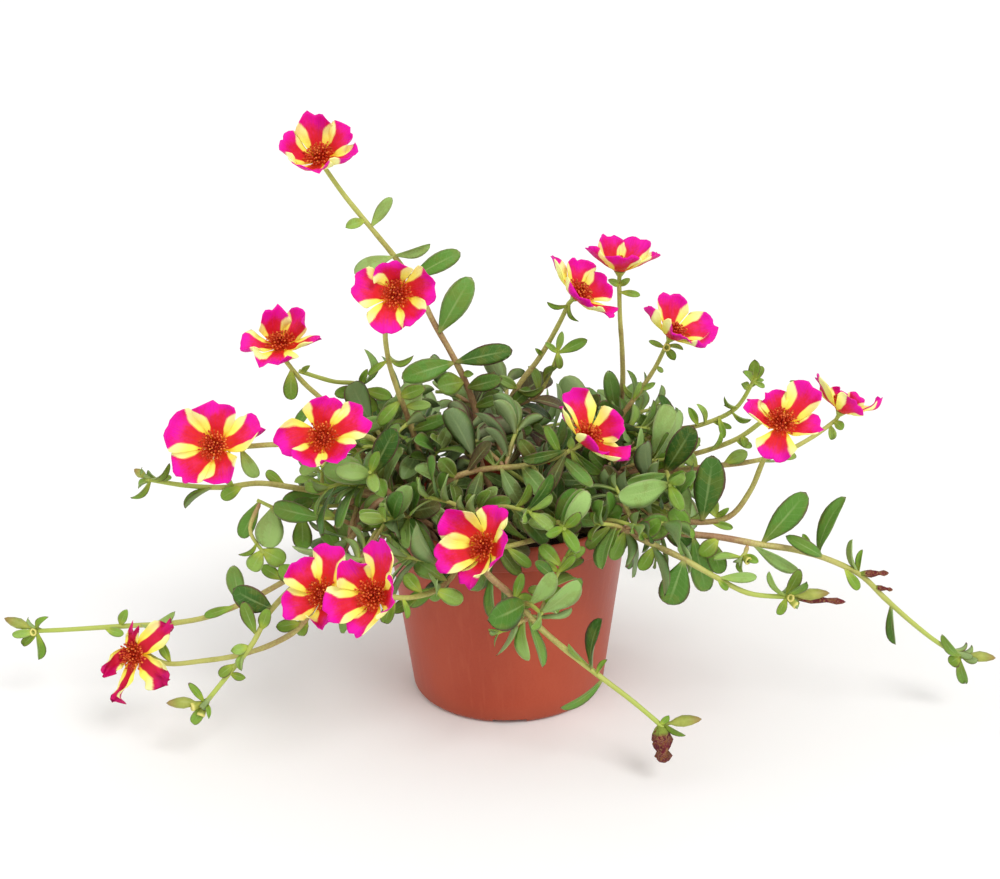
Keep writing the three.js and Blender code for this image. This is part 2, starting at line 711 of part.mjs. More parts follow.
const BLOOMS = [
  { place: [321, 159, -14], facing: [-0.2, 0.55, 0.8], petals: [
    [314, 111, 0.3, 15], [351, 131, 0.3, 17], [359, 158, 0.8, 15], [317, 181, 1, 17],
    [281, 141, 0.5, 15]] },
  { place: [397, 296, -34], facing: [-0.05, 0.25, 1], petals: [
    [388, 262, 0.6, 17, 20], [438, 289, 0.5, 17], [353, 285, 0.5, 16], [389, 337, 0.5, 16],
    [420, 327, 0.6, 14]] },
  { place: [281, 346, -24], facing: [0, 0.75, 0.65], petals: [
    [271, 306, 0.4, 14, 21], [303, 311, 0.2, 17, 21], [323, 340, 0.4, 17, 21], [243, 345, 0.4, 14],
    [280, 367, 1, 18, 20]] },
  { place: [216, 447, -48], facing: [-0.15, 0.2, 1], petals: [
    [217, 402, 0.3, 22, 24], [262, 424, 0.4, 15], [167, 425, 0.4, 20, 25], [184, 478, 0.4, 19, 24],
    [230, 483, 0.6, 17, 22]] },
  { place: [323, 438, -58], facing: [0, 0.25, 1], petals: [
    [330, 396, 0.4, 16, 22], [366, 413, 0.4, 19], [279, 447, 0.4, 15, 22], [303, 463, 0.8, 15, 20],
    [345, 460, 0.8, 18, 20]] },
  { place: [486, 547, -80], facing: [-0.6, 0.2, 0.8], petals: [
    [442, 514, 0.4, 18, 24], [434, 560, 0.5, 15, 25], [464, 582, 0.7, 12, 21], [503, 547, 1, 18, 18],
    [501, 507, 0.2, 15, 21]] },
  { place: [323, 594, -76], facing: [-0.1, 0.1, 1], petals: [
    [295, 560, 0.4, 17, 22], [330, 544, 0.3, 19, 24], [283, 606, 0.4, 14, 21], [334, 621, 0.9, 14, 20],
    [356, 585, 0.3, 14, 20]] },
  { place: [374, 595, -102], facing: [-0.35, 0.1, 0.95], petals: [
    [378, 540, 0.3, 18, 25], [347, 560, 0.5, 15, 22], [327, 613, 0.3, 19, 25], [353, 632, 0.5, 12, 21],
    [396, 588, 1, 17, 20]] },
  { place: [136, 654, -56], facing: [-0.35, -0.05, 0.93], petals: [
    [172, 625, 0.2, 12, 23], [137, 627, 0.5, 7, 20], [106, 673, 0.5, 9, 20], [121, 701, 0.3, 7],
    [174, 679, 0.5, 15, 23]] },
  { place: [577, 295, 0], facing: [0.6, 0.55, 0.58], petals: [
    [548, 257, 0.3, 15, 23], [579, 256, -0.3, 17, 22], [611, 280, -0.3, 15, 20],
    [578, 301, 1, 17, 19], [614, 317, 0.6, 15, 22]] },
  { place: [620, 269, 14], facing: [0.05, 0.92, 0.3], petals: [
    [609, 230, -0.6, 17, 21], [643, 234, -0.6, 18, 22], [620, 261, 1, 17, 18], [587, 248, 0.7, 12, 20],
    [659, 254, 0.7, 12, 21]] },
  { place: [672, 335, -4], facing: [0.4, 0.75, 0.5], petals: [
    [673, 290, -0.4, 16, 22], [645, 307, 0.3, 14, 20], [718, 325, -0.5, 15, 23], [678, 341, 1, 15, 18],
    [706, 347, 0.7, 15, 21]] },
  { place: [586, 438, -50], facing: [0.45, 0.55, 0.7], petals: [
    [569, 389, 0.1, 14], [562, 410, -0.5, 13, 18], [626, 425, 0.2, 17, 20], [598, 452, 1, 17, 17],
    [629, 458, 0.5, 12, 22]] },
  { place: [781, 424, -50], facing: [0, 0.5, 0.85], petals: [
    [748, 400, 0.3, 14, 22], [771, 391, -0.1, 15, 17], [816, 385, 0.2, 19, 24], [767, 461, 0.5, 15, 21],
    [820, 424, 0.5, 13, 20]] },
  { place: [842, 409, -20], facing: [0.35, 0.8, 0.45], petals: [
    [845, 389, -0.4, 15, 14], [864, 395, -0.4, 14, 15], [881, 398, 0.3, 8, 20], [853, 408, 1, 14, 13],
    [819, 375, -0.2, 16, 21]] },
];

const PETAL_REACH = 23;
const PETAL_FULLNESS = 1.2;

// ---------------------------------------------------------------- the stems' places
//
// root: x and y where the stem enters the soil. route: the stem's way, on the drawing.
// thick: its radius at the soil and at the tip. bloom: the bloom on its tip. twigs: side
// stems, each starting at the stem's nearest point. leaves: root and tip on the drawing, how
// much nearer the viewer the tip lies (mm), the width as drawn, and the bow. buds and spent
// flowers: as leaves, without a bow. rosettes: a place on the drawing, a count and a length.
// shoots: how many leafy side shoots the stem has inside the bush.

const STEMS = [
  { name: 'stem_1', root: [-4, 12], thick: [2.1, 1.2], bloom: 0, shoots: 1,
    route: [[478, 455, 8], [475, 406, 4], [457, 366, 2], [443, 337, 0], [428, 313, -1],
      [411, 277, -2], [393, 255, -4], [367, 223, -8]],
    leaves: [[370, 223, 391, 198, 4, 15, 0], [362, 220, 346, 227, 5, 11, 0.1],
      [394, 254, 430, 245, 6, 10, 0.05], [391, 256, 354, 273, 3, 16, 0.25],
      [414, 281, 460, 252, -2, 20, 0.06], [438, 328, 471, 278, 3, 27, 0.08],
      [456, 364, 512, 350, 6, 26, 0.12], [455, 362, 402, 378, 10, 26, 0.15],
      [460, 374, 473, 374, 4, 9, 0], [465, 384, 438, 386, 8, 25, 0],
      [466, 388, 501, 379, 8, 18, 0.1], [476, 430, 460, 402, 6, 17, 0.05],
      [478, 442, 505, 428, 6, 17, 0.05], [473, 405, 500, 398, 5, 15, 0.05]] },
  { name: 'stem_2', root: [-24, 2], thick: [1.9, 1.2], bloom: 1, shoots: 1,
    route: [[425, 470, -8], [414, 433, -12], [400, 397, -18], [388, 357, -25], [386, 325, -28]],
    leaves: [[385, 364, 368, 375, 3, 8, 0.3], [389, 357, 413, 357, 4, 5, 0.3],
      [396, 397, 424, 388, 6, 15, 0.1], [397, 402, 378, 425, 4, 18, 0.1],
      [412, 428, 446, 418, 6, 16, 0.05], [404, 408, 430, 405, 5, 13, 0.05],
      [420, 452, 403, 478, 8, 20, 0.05]] },
  { name: 'stem_3', root: [-34, 12], thick: [1.9, 1.2], bloom: 2, shoots: 1,
    route: [[372, 465, 0], [345, 425, -10], [320, 397, -15], [304, 383, -18], [291, 369, -20]],
    leaves: [[290, 370, 291, 400, 4, 17, 0], [318, 398, 296, 427, -4, 13, 0],
      [350, 432, 385, 420, 6, 18, 0.05], [362, 452, 345, 475, 6, 16, 0.05]] },
  { name: 'stem_4', root: [-42, -14], thick: [1.9, 1.2], bloom: 3, shoots: 1,
    route: [[392, 495, -25], [375, 483, -28], [349, 463, -32], [320, 450, -36], [290, 445, -38],
      [264, 444, -40]],
    leaves: [[242, 452, 257, 478, 2, 14, 0.1], [228, 455, 209, 478, 2, 5, 0.1],
      [330, 455, 300, 474, 2, 16, 0.1], [388, 492, 366, 512, 6, 20, 0.05],
      [392, 495, 424, 487, 8, 20, 0.05]] },
  { name: 'stem_5', root: [-28, -8], thick: [1.8, 1.2], bloom: 4, shoots: 1,
    route: [[402, 475, -16], [388, 454, -20], [369, 437, -30], [345, 437, -44]],
    leaves: [[380, 446, 358, 442, 3, 7, 0.1], [390, 456, 375, 478, 4, 16, 0.05],
      [400, 472, 420, 478, 6, 18, 0.05], [396, 465, 420, 450, 6, 18, 0.05]] },
  { name: 'stem_6', root: [18, -28], thick: [1.8, 1.2], bloom: 5, shoots: 1,
    route: [[560, 505, -38], [557, 519, -48], [549, 533, -58], [528, 541, -66], [508, 547, -72]],
    leaves: [[510, 548, 531, 567, 2, 14, 0], [547, 533, 513, 514, -6, 22, 0.05],
      [556, 518, 557, 474, 2, 15, 0.05], [557, 518, 574, 502, 5, 14, 0],
      [553, 530, 586, 512, 4, 20, 0.05], [558, 512, 600, 522, 8, 19, 0.05],
      [550, 533, 566, 556, 8, 15, 0.05], [558, 508, 540, 486, 5, 18, 0.05],
      [558, 515, 530, 500, 6, 18, 0.05], [552, 530, 576, 545, 6, 16, 0.05],
      [540, 537, 548, 575, 6, 18, 0.05]] },
  { name: 'stem_7', root: [-24, -34], thick: [1.7, 1.2], bloom: 6, shoots: 1,
    route: [[412, 512, -44], [395, 520, -50], [375, 548, -58], [350, 578, -64]],
    leaves: [[345, 590, 345, 634, -4, 14, 0], [405, 515, 426, 546, 6, 22, 0.05],
      [395, 522, 366, 522, 5, 20, 0.05], [388, 532, 412, 566, 6, 18, 0.05],
      [404, 514, 440, 505, 6, 20, 0.05], [398, 520, 392, 556, 5, 20, 0.05],
      [404, 515, 432, 562, 12, 20, 0.08], [390, 528, 418, 590, 10, 20, 0.05]] },
  { name: 'stem_8', root: [-6, -38], thick: [1.7, 1.2], bloom: 7, shoots: 1,
    route: [[482, 505, -50], [470, 540, -66], [455, 575, -74], [446, 584, -78], [430, 589, -84],
      [414, 597, -90], [397, 597, -96]],
    leaves: [[432, 590, 463, 601, 4, 22, 0.05], [399, 600, 408, 619, 3, 6, 0],
      [394, 602, 384, 624, 2, 12, 0], [420, 594, 405, 574, -3, 14, 0.05],
      [478, 515, 448, 527, 5, 20, 0.05], [470, 540, 436, 552, 6, 20, 0.05],
      [480, 510, 510, 500, 6, 18, 0.05], [446, 584, 415, 560, -8, 22, 0.05],
      [422, 593, 392, 612, 4, 12, 0], [462, 560, 436, 566, -4, 18, 0.05]] },
  { name: 'stem_9', root: [-46, -3], thick: [1.9, 1.2], bloom: 8, shoots: 1,
    route: [[385, 498, -14], [366, 505, -22], [340, 560, -40], [318, 600, -50], [301, 625, -54],
      [287, 637, -54], [249, 653, -52], [216, 658, -52], [191, 663, -53], [168, 664, -54]],
    leaves: [[300, 627, 276, 627, 4, 16, 0.1], [306, 618, 298, 636, 4, 14, 0],
      [290, 634, 308, 622, -4, 12, 0], [170, 661, 161, 642, 2, 10, 0]] },
  { name: 'stem_10', root: [8, 10], thick: [2.0, 1.2], bloom: 9, shoots: 1,
    route: [[502, 450, 14], [496, 433, 14], [506, 408, 12], [519, 385, 10], [540, 357, 8],
      [555, 332, 6], [566, 306, 4]],
    twigs: [[[506, 408], [530, 402, 12], [545, 385, 8], [553, 365, 4], [559, 350, 2]]],
    leaves: [[561, 350, 587, 340, 4, 13, 0], [559, 352, 560, 369, 3, 9, 0],
      [558, 348, 562, 332, 2, 8, 0], [557, 350, 546, 343, 4, 7, 0], [541, 356, 536, 349, 2, 5, 0],
      [547, 380, 557, 366, 4, 6, 0.1], [519, 385, 543, 388, 4, 6, 0.2],
      [516, 388, 497, 377, 6, 12, 0.1], [566, 305, 547, 303, 2, 4, 0.1],
      [570, 304, 577, 322, 3, 4, 0.2], [508, 405, 530, 388, 4, 16, 0.1],
      [500, 440, 532, 428, 6, 17, 0.05], [500, 448, 470, 432, 6, 15, 0.05]] },
  { name: 'stem_11', root: [24, 20], thick: [1.9, 1.2], bloom: 10, shoots: 1,
    route: [[608, 450, 22], [618, 415, 22], [623, 377, 20], [620, 317, 16]],
    leaves: [[620, 291, 640, 295, 3, 8, 0.05], [617, 286, 609, 280, 3, 8, 0],
      [621, 286, 629, 279, 3, 8, 0], [618, 418, 609, 372, 6, 19, 0], [622, 380, 640, 400, 4, 6, 0.2],
      [612, 440, 640, 428, 6, 16, 0.05]] },
  { name: 'stem_12', root: [34, 6], thick: [1.8, 1.1], bloom: 11, shoots: 1,
    route: [[605, 440, 6], [624, 414, 6], [639, 392, 4], [655, 368, 2], [665, 352, 0]],
    leaves: [[666, 348, 650, 341, 2, 7, 0], [668, 350, 675, 360, 4, 10, 0],
      [670, 347, 683, 349, 2, 5, 0], [657, 364, 663, 372, 2, 7, 0], [643, 388, 655, 383, 2, 6, 0],
      [636, 398, 641, 382, 3, 7, 0.1], [630, 404, 628, 370, 3, 4, 0.15],
      [634, 398, 645, 372, -3, 5, 0.2]] },
  { name: 'stem_13', root: [-10, -14], thick: [1.9, 1.3], bloom: 12, shoots: 1,
    route: [[440, 500, -24], [452, 480, -32], [468, 472, -35], [496, 468, -38], [529, 465, -42],
      [554, 458, -45], [570, 452, -47]],
    leaves: [[457, 479, 430, 514, 4, 16, 0], [467, 472, 490, 442, 5, 12, 0],
      [480, 472, 510, 487, -3, 13, 0], [457, 480, 440, 459, 3, 18, 0],
      [566, 453, 522, 460, 3, 14, 0.05], [563, 454, 545, 425, 2, 14, 0.05],
      [568, 454, 548, 492, 4, 14, 0.05], [576, 452, 571, 437, 2, 9, 0],
      [578, 456, 600, 475, 3, 11, 0], [574, 456, 586, 474, 5, 8, 0],
      [498, 468, 478, 441, -3, 12, 0.05], [500, 468, 521, 505, 10, 19, 0.08],
      [520, 466, 548, 498, 12, 19, 0.08], [484, 471, 470, 507, 10, 19, 0.08],
      [562, 455, 592, 486, 8, 18, 0.05], [450, 484, 416, 498, 8, 19, 0.05],
      [535, 464, 520, 440, 5, 18, 0.05], [480, 473, 500, 452, 6, 16, 0.05]] },
  { name: 'stem_14', root: [40, -14], thick: [2.0, 1.2], bloom: 13, shoots: 1,
    route: [[612, 492, -24], [640, 505, -32], [665, 518, -38], [691, 522, -40], [713, 522, -42],
      [734, 514, -44], [743, 502, -45], [754, 484, -46], [763, 461, -48]],
    leaves: [[713, 522, 733, 528, 3, 8, 0], [703, 521, 713, 457, 6, 33, 0.04],
      [714, 520, 708, 498, -4, 16, 0], [690, 521, 677, 481, -3, 25, 0.04],
      [718, 520, 728, 509, 4, 7, 0], [668, 518, 640, 500, 5, 24, 0.05],
      [660, 514, 690, 545, 5, 24, 0.05], [640, 505, 676, 488, 5, 23, 0.05],
      [618, 494, 606, 466, 5, 18, 0.05]] },
  { name: 'stem_15', root: [26, -4], thick: [1.9, 1.1], bloom: 14, shoots: 1,
    route: [[600, 474, -14], [650, 473, -18], [695, 468, -20], [730, 464, -22], [759, 461, -24],
      [778, 455, -24], [794, 446, -24], [827, 430, -22]],
    leaves: [[727, 464, 747, 452, 3, 16, 0], [757, 461, 788, 461, 2, 3, 0],
      [834, 424, 843, 429, 3, 10, 0], [832, 427, 832, 440, 2, 8, 0], [790, 447, 785, 458, 3, 14, 0],
      [695, 468, 680, 450, 4, 14, 0.05], [650, 473, 668, 455, 4, 18, 0.05],
      [648, 473, 625, 487, 4, 18, 0.05], [612, 474, 590, 452, 5, 18, 0.05],
      [625, 473, 640, 500, 6, 18, 0.05], [672, 470, 690, 492, 6, 21, 0.05]] },
  { name: 'trail_left_mid', root: [-46, 8], thick: [2.0, 1.2], shoots: 1,
    route: [[386, 488, -5], [356, 495, -10], [337, 494, -12], [311, 492, -14], [285, 485, -16],
      [261, 483, -18], [233, 487, -20], [208, 487, -22], [182, 485, -24], [157, 482, -25],
      [146, 479, -26]],
    twigs: [[[352, 496], [337, 514, -24], [302, 516, -28], [276, 509, -28], [257, 500, -28]],
      [[262, 502], [250, 530, -34], [264, 553, -36]], [[318, 493], [322, 480, -16], [322, 470, -18]]],
    leaves: [[152, 480, 170, 465, 2, 5, 0.2], [157, 481, 172, 477, 3, 7, 0.1],
      [145, 482, 133, 500, 4, 5, 0.1], [210, 488, 184, 507, 6, 4, 0.05],
      [240, 488, 221, 498, 4, 13, 0], [287, 486, 266, 471, -4, 12, 0.1],
      [330, 495, 282, 503, 4, 24, 0.05], [262, 503, 241, 538, 4, 20, 0.05],
      [272, 508, 268, 548, 6, 30, 0.05], [303, 516, 303, 550, 4, 23, 0],
      [318, 516, 336, 546, 4, 22, 0], [338, 512, 350, 542, 4, 14, 0], [262, 551, 251, 571, 3, 18, 0],
      [264, 552, 285, 562, 4, 20, 0], [255, 540, 240, 556, 2, 5, 0.2],
      [290, 512, 312, 500, 6, 16, 0.05], [233, 487, 222, 474, 3, 7, 0],
      [372, 492, 392, 520, 6, 20, 0.05]],
    buds: [[147, 480, 134, 469, 2, 9]],
    rosettes: [[322, 470, 5, 11], [146, 479, 3, 7]] },
  { name: 'trail_left_long', root: [-36, 24], thick: [2.0, 1.2], shoots: 1,
    route: [[384, 468, 13], [364, 482, 6], [340, 522, 0], [308, 562, -10], [280, 584, -18],
      [260, 594, -20], [232, 608, -22], [207, 617, -22], [174, 623, -22], [124, 626, -22],
      [60, 630, -22], [34, 631, -22]],
    leaves: [[36, 629, 46, 617, 2, 6, 0.1], [34, 633, 40, 660, 3, 5, 0], [32, 633, 22, 645, 2, 9, 0],
      [30, 628, 12, 635, 4, 9, 0], [121, 625, 126, 611, 3, 10, 0], [104, 627, 123, 634, 4, 12, 0],
      [142, 624, 175, 612, 0, 11, 0.4], [236, 606, 204, 616, 4, 11, 0],
      [238, 604, 233, 567, 2, 19, 0], [173, 622, 169, 603, 3, 12, 0],
      [283, 582, 262, 566, 4, 18, 0.05]],
    buds: [[31, 629, 4, 618, 2, 11]],
    rosettes: [[34, 631, 4, 7]] },
  { name: 'trail_low_left', root: [-34, -22], thick: [1.9, 1.2], shoots: 1,
    route: [[392, 503, -30], [372, 508, -36], [345, 548, -42], [305, 577, -48], [280, 600, -56],
      [260, 625, -64], [255, 636, -68], [248, 652, -72], [232, 669, -74], [216, 693, -76],
      [203, 706, -78]],
    leaves: [[197, 703, 190, 684, 2, 8, 0], [200, 710, 192, 724, 3, 12, 0],
      [205, 706, 209, 718, 3, 5, 0], [236, 664, 219, 676, 3, 13, 0.05],
      [230, 672, 245, 678, 3, 10, 0], [270, 611, 234, 590, 6, 24, 0.1],
      [256, 634, 243, 603, 2, 15, 0], [258, 630, 268, 610, 4, 14, 0],
      [249, 650, 231, 651, 4, 12, 0.05], [244, 656, 240, 670, 3, 5, 0],
      [300, 581, 280, 566, 5, 20, 0.05], [385, 505, 360, 530, 5, 18, 0.05]],
    buds: [[199, 706, 166, 703, 2, 12]],
    rosettes: [[203, 706, 4, 7]] },
  { name: 'spray_high_left', root: [-20, 22], thick: [1.7, 1.1], shoots: 1,
    route: [[388, 455, 14], [372, 420, 8], [362, 385, 2], [345, 382, -3], [326, 381, -7],
      [307, 380, -10], [299, 371, -11]],
    leaves: [[362, 388, 335, 394, 4, 16, 0.05], [363, 390, 375, 412, 4, 18, 0],
      [364, 388, 391, 397, 3, 16, 0], [358, 382, 367, 350, 0, 4, 0.25],
      [300, 374, 309, 366, 2, 6, 0], [365, 396, 345, 414, 4, 16, 0.05],
      [362, 383, 366, 371, 3, 8, 0], [375, 430, 402, 420, 6, 18, 0.05]] },
  { name: 'trail_front', root: [6, -42], thick: [2.0, 1.2], shoots: 1,
    route: [[508, 522, -50], [497, 535, -63], [484, 562, -74], [490, 578, -78], [514, 598, -80],
      [531, 619, -82], [551, 637, -84], [578, 660, -86], [602, 678, -88], [631, 700, -92],
      [663, 727, -96]],
    twigs: [[[531, 616], [520, 622, -88], [506, 629, -91], [497, 633, -93]],
      [[538, 622], [545, 600, -80], [556, 578, -78], [566, 557, -77]]],
    leaves: [[488, 578, 495, 621, 6, 9, 0.05], [512, 597, 522, 574, 4, 12, 0],
      [516, 600, 534, 602, 5, 18, 0], [528, 617, 544, 667, 6, 10, 0], [546, 612, 582, 580, 4, 16, 0],
      [590, 669, 600, 619, 6, 8, 0.05], [601, 678, 562, 710, 8, 11, 0.05],
      [585, 664, 568, 645, 2, 6, 0], [597, 674, 605, 660, 3, 5, 0], [552, 590, 547, 604, 3, 9, 0],
      [500, 632, 514, 626, 3, 7, 0], [665, 727, 669, 716, 2, 9, 0], [664, 730, 685, 737, 3, 7, 0],
      [560, 570, 575, 556, 3, 12, 0], [558, 572, 543, 562, 3, 12, 0],
      [506, 525, 538, 516, 6, 20, 0.05], [497, 536, 530, 556, 6, 18, 0.05],
      [503, 527, 474, 515, 6, 18, 0.05], [492, 545, 520, 575, 6, 16, 0.05],
      [494, 548, 530, 564, 4, 18, 0.05], [556, 578, 536, 562, 3, 14, 0],
      [550, 588, 528, 590, 3, 12, 0], [560, 568, 540, 545, 2, 16, 0.05],
      [562, 562, 585, 548, 3, 12, 0]],
    buds: [[664, 728, 702, 719, 2, 12]],
    spent: [[664, 727, 664, 763, 4, 20], [664, 728, 655, 742, 2, 8]],
    rosettes: [[497, 633, 5, 6]] },
  { name: 'spray_right_back', root: [42, 6], thick: [1.8, 1.1], shoots: 1,
    route: [[625, 472, 6], [650, 463, 4], [676, 458, 2], [708, 450, -2], [733, 441, -6],
      [756, 426, -10], [780, 407, -14], [795, 396, -16]],
    leaves: [[735, 441, 752, 447, 3, 8, 0], [797, 394, 805, 383, 2, 10, 0],
      [796, 396, 791, 381, 2, 3, 0.2], [676, 458, 700, 438, 4, 14, 0.1],
      [708, 450, 722, 432, 3, 6, 0.15], [650, 463, 660, 440, 4, 16, 0.05],
      [740, 437, 745, 446, 3, 10, 0], [668, 460, 652, 480, 5, 18, 0.05]] },
  { name: 'spray_right_top', root: [38, 18], thick: [1.9, 1.1], shoots: 1,
    route: [[640, 441, 18], [676, 431, 14], [695, 426, 12], [715, 421, 10], [734, 410, 8],
      [746, 393, 6], [755, 378, 4]],
    leaves: [[750, 387, 742, 384, 2, 10, 0], [754, 386, 765, 387, 2, 6, 0],
      [753, 380, 755, 360, 2, 13, 0], [750, 382, 746, 372, 3, 8, 0], [757, 380, 763, 366, 3, 8, 0],
      [737, 406, 724, 397, 0, 3, 0.25], [731, 412, 724, 405, 2, 3, 0],
      [735, 411, 751, 420, 3, 5, 0.2], [715, 421, 732, 428, 2, 7, 0], [720, 420, 724, 438, 3, 8, 0],
      [697, 425, 689, 408, 2, 8, 0], [704, 424, 698, 404, 2, 6, 0.1],
      [672, 432, 660, 395, 4, 11, 0.05], [676, 431, 652, 414, 3, 16, 0],
      [680, 430, 700, 446, 5, 8, 0.15], [655, 437, 638, 415, 4, 15, 0.05],
      [668, 433, 661, 455, 5, 19, 0.05]],
    rosettes: [[755, 378, 5, 8]] },
  { name: 'trail_right_long', root: [30, -24], thick: [2.1, 1.2], shoots: 1,
    route: [[600, 500, -32], [625, 512, -42], [655, 528, -48], [690, 534, -50], [726, 538, -52],
      [757, 544, -52], [786, 548, -51], [819, 556, -50], [859, 574, -48], [891, 604, -46],
      [930, 637, -44], [962, 657, -42]],
    twigs: [[[750, 543], [746, 552, -56], [741, 558, -58]]],
    leaves: [[762, 545, 806, 493, 4, 28, 0.04], [757, 547, 798, 572, 4, 14, 0],
      [818, 555, 786, 536, 3, 17, 0.3], [822, 555, 845, 497, 4, 14, 0.1],
      [812, 553, 803, 534, -3, 8, 0], [842, 567, 859, 590, 4, 12, 0],
      [857, 572, 851, 540, 0, 3, 0.1], [859, 572, 861, 550, -2, 6, 0], [892, 606, 894, 645, 4, 4, 0],
      [960, 655, 942, 636, 3, 9, 0.15], [961, 657, 949, 663, 4, 14, 0],
      [963, 659, 965, 684, 3, 9, 0], [713, 537, 721, 574, 4, 23, 0], [735, 557, 714, 559, 3, 6, 0],
      [692, 535, 706, 592, -2, 27, 0],
      [690, 534, 672, 510, 5, 26, 0.05], [716, 537, 700, 555, 5, 16, 0],
      [745, 556, 758, 562, 4, 9, 0], [612, 505, 646, 497, 6, 21, 0.05],
      [628, 514, 604, 536, 6, 16, 0.05]],
    buds: [[963, 657, 996, 658, 2, 11]],
    spent: [[861, 575, 889, 573, 2, 7], [885, 573, 893, 590, 2, 5]],
    rosettes: [[962, 657, 5, 8], [741, 558, 5, 8]] },
  { name: 'trail_right_low', root: [26, -38], thick: [1.9, 1.2], shoots: 1,
    route: [[580, 520, -46], [612, 525, -56], [655, 546, -62], [690, 562, -66], [719, 579, -68],
      [738, 589, -68], [757, 595, -68], [790, 597, -68]],
    leaves: [[682, 558, 668, 605, 6, 35, 0.05],
      [720, 579, 757, 577, 3, 13, 0], [718, 580, 728, 590, 3, 7, 0], [790, 595, 768, 573, 2, 5, 0.1],
      [793, 595, 800, 571, 3, 14, 0], [795, 595, 807, 583, 4, 10, 0], [790, 599, 778, 615, 3, 10, 0],
      [655, 546, 640, 570, 5, 16, 0.05], [640, 540, 660, 520, 6, 18, 0.05],
      [590, 521, 622, 508, 6, 22, 0.05], [612, 526, 586, 548, 6, 15, 0.05],
      [630, 533, 670, 522, 6, 27, 0.05], [600, 522, 578, 500, 6, 18, 0.05],
      [622, 530, 612, 560, 6, 16, 0.05]],
    buds: [[792, 597, 830, 593, 2, 12]],
    spent: [[826, 593, 846, 602, 0, 8]],
    rosettes: [[790, 597, 4, 7]] },
  { name: 'back_left', root: [-18, 34], thick: [2.0, 1.2], shoots: 3,
    course: [[-26, 44, 103], [-44, 64, 106], [-64, 88, 90], [-80, 108, 68], [-88, 120, 52]],
    leafy: true },
  { name: 'back_middle', root: [4, 38], thick: [2.0, 1.2], shoots: 3,
    course: [[6, 48, 104], [8, 70, 106], [4, 96, 88], [0, 116, 64], [-2, 126, 48]],
    leafy: true },
  { name: 'back_right', root: [24, 36], thick: [2.0, 1.2], shoots: 3,
    course: [[34, 48, 104], [52, 66, 104], [74, 84, 88], [92, 102, 66], [100, 112, 52]],
    leafy: true },
];

// ---------------------------------------------------------------- growing the plant

const LEAF_SPACING = 17;
const TWIG_SPACING = 12;
const LEAF_LENGTH = [19, 28];
const LEAF_BREADTH = 0.5;
const LEAF_BOW = 0.06;
const LEAF_LEAN = [0.9, 1.25];
const LEAF_TURN = 3;
const FIRST_LEAF = 20;
const LESSER = 0.7;
const SLENDEREST = 0.34;
const DEPTH_SHIFTS = [0, 3, -3, 6, -6, 9];
const ROSETTE = { lean: 0.75, spots: [0.9, 0.7] };
const TWIG_LENGTH = [18, 34];
const TWIG_START = { length: 1.5, swell: 1.2 };

// A shoot of the bush: how steeply it rises, how much it turns outwards, how it arches, where
// its first leaf stands, how many leaves its tip has, and how far out it may start and end.
const SHOOT = {
  rise: [0.1, 0.9],
  outward: 0.5,
  arch: 0.08,
  firstLeaf: 8,
  leaves: 3,
  start: 0.9,
  farthest: 1.1,
};
const MOST_TRIES = 12;
const SPOT_PARTS = [0.1, 0.3, 0.5, 0.7, 0.9];
const ABOVE_SOIL = { root: 2.5, stem: 3, bush: 4 };
const STRAIGHT_NECK = 6;
const FIRST_SEED = 11;

// The blooms and some places of the drawing stay open: no leaf by rule hides them. Each place
// has its u and v, its depth and its size.
const BLOOM_VIEW = { depth: 8, size: 42 };
const OPEN_VIEWS = [[462, 477, -30, 13], [484, 471, -34, 13], [508, 467, -38, 13],
  [532, 463, -40, 13], [562, 642, -60, 22]];

function placedBloom(bloom) {
  const [right, up, near] = bloom.facing;
  const facing = DRAWN_RIGHT.clone().multiplyScalar(right)
    .addScaledVector(DRAWN_UP, up)
    .addScaledVector(TO_VIEWER, near)
    .normalize();
  const across = acrossFrom(facing, DRAWN_RIGHT);
  return {
    place: at(...bloom.place),
    facing,
    right: across,
    up: facing.clone().cross(across),
    reach: PETAL_REACH,
    petals: bloom.petals,
  };
}

const blooms = BLOOMS.map(placedBloom);
const openViews = [
  ...blooms.map(({ place }) => (
    { sight: drawn(place), depth: place.y + BLOOM_VIEW.depth, size: BLOOM_VIEW.size }
  )),
  ...OPEN_VIEWS.map(([u, v, depth, size]) => ({ sight: new THREE.Vector2(u, v), depth, size })),
];

function hidesView(balls) {
  return balls.some(({ place }) => openViews.some(({ sight, depth, size }) => (
    place.y < depth && drawn(place).distanceTo(sight) < size
  )));
}

// How far out in the bush a place is: 0 at its heart and 1 at its outside.
function bushShare({ x, y, z }) {
  const out = Math.hypot(x, y) / BUSH.radius;
  const up = (z - BUSH.middle) / BUSH.height;
  return z > SOIL_TOP + ABOVE_SOIL.bush || out > BUSH.rim ? Math.hypot(out, up) : 0;
}

function mainRoute(stem) {
  const [x, y] = stem.root;
  const points = [new THREE.Vector3(x, y, SOIL_TOP + ABOVE_SOIL.root)];
  for (const place of stem.route ?? []) points.push(at(...place));
  for (const place of stem.course ?? []) points.push(new THREE.Vector3(...place));
  if (stem.bloom !== undefined) {
    const { place, facing } = blooms[stem.bloom];
    points.push(place.clone().addScaledVector(facing, -CALYX.length - STRAIGHT_NECK));
    points.push(place.clone().addScaledVector(facing, -CALYX.length - EYE_THICKNESS));
  }
  return points;
}

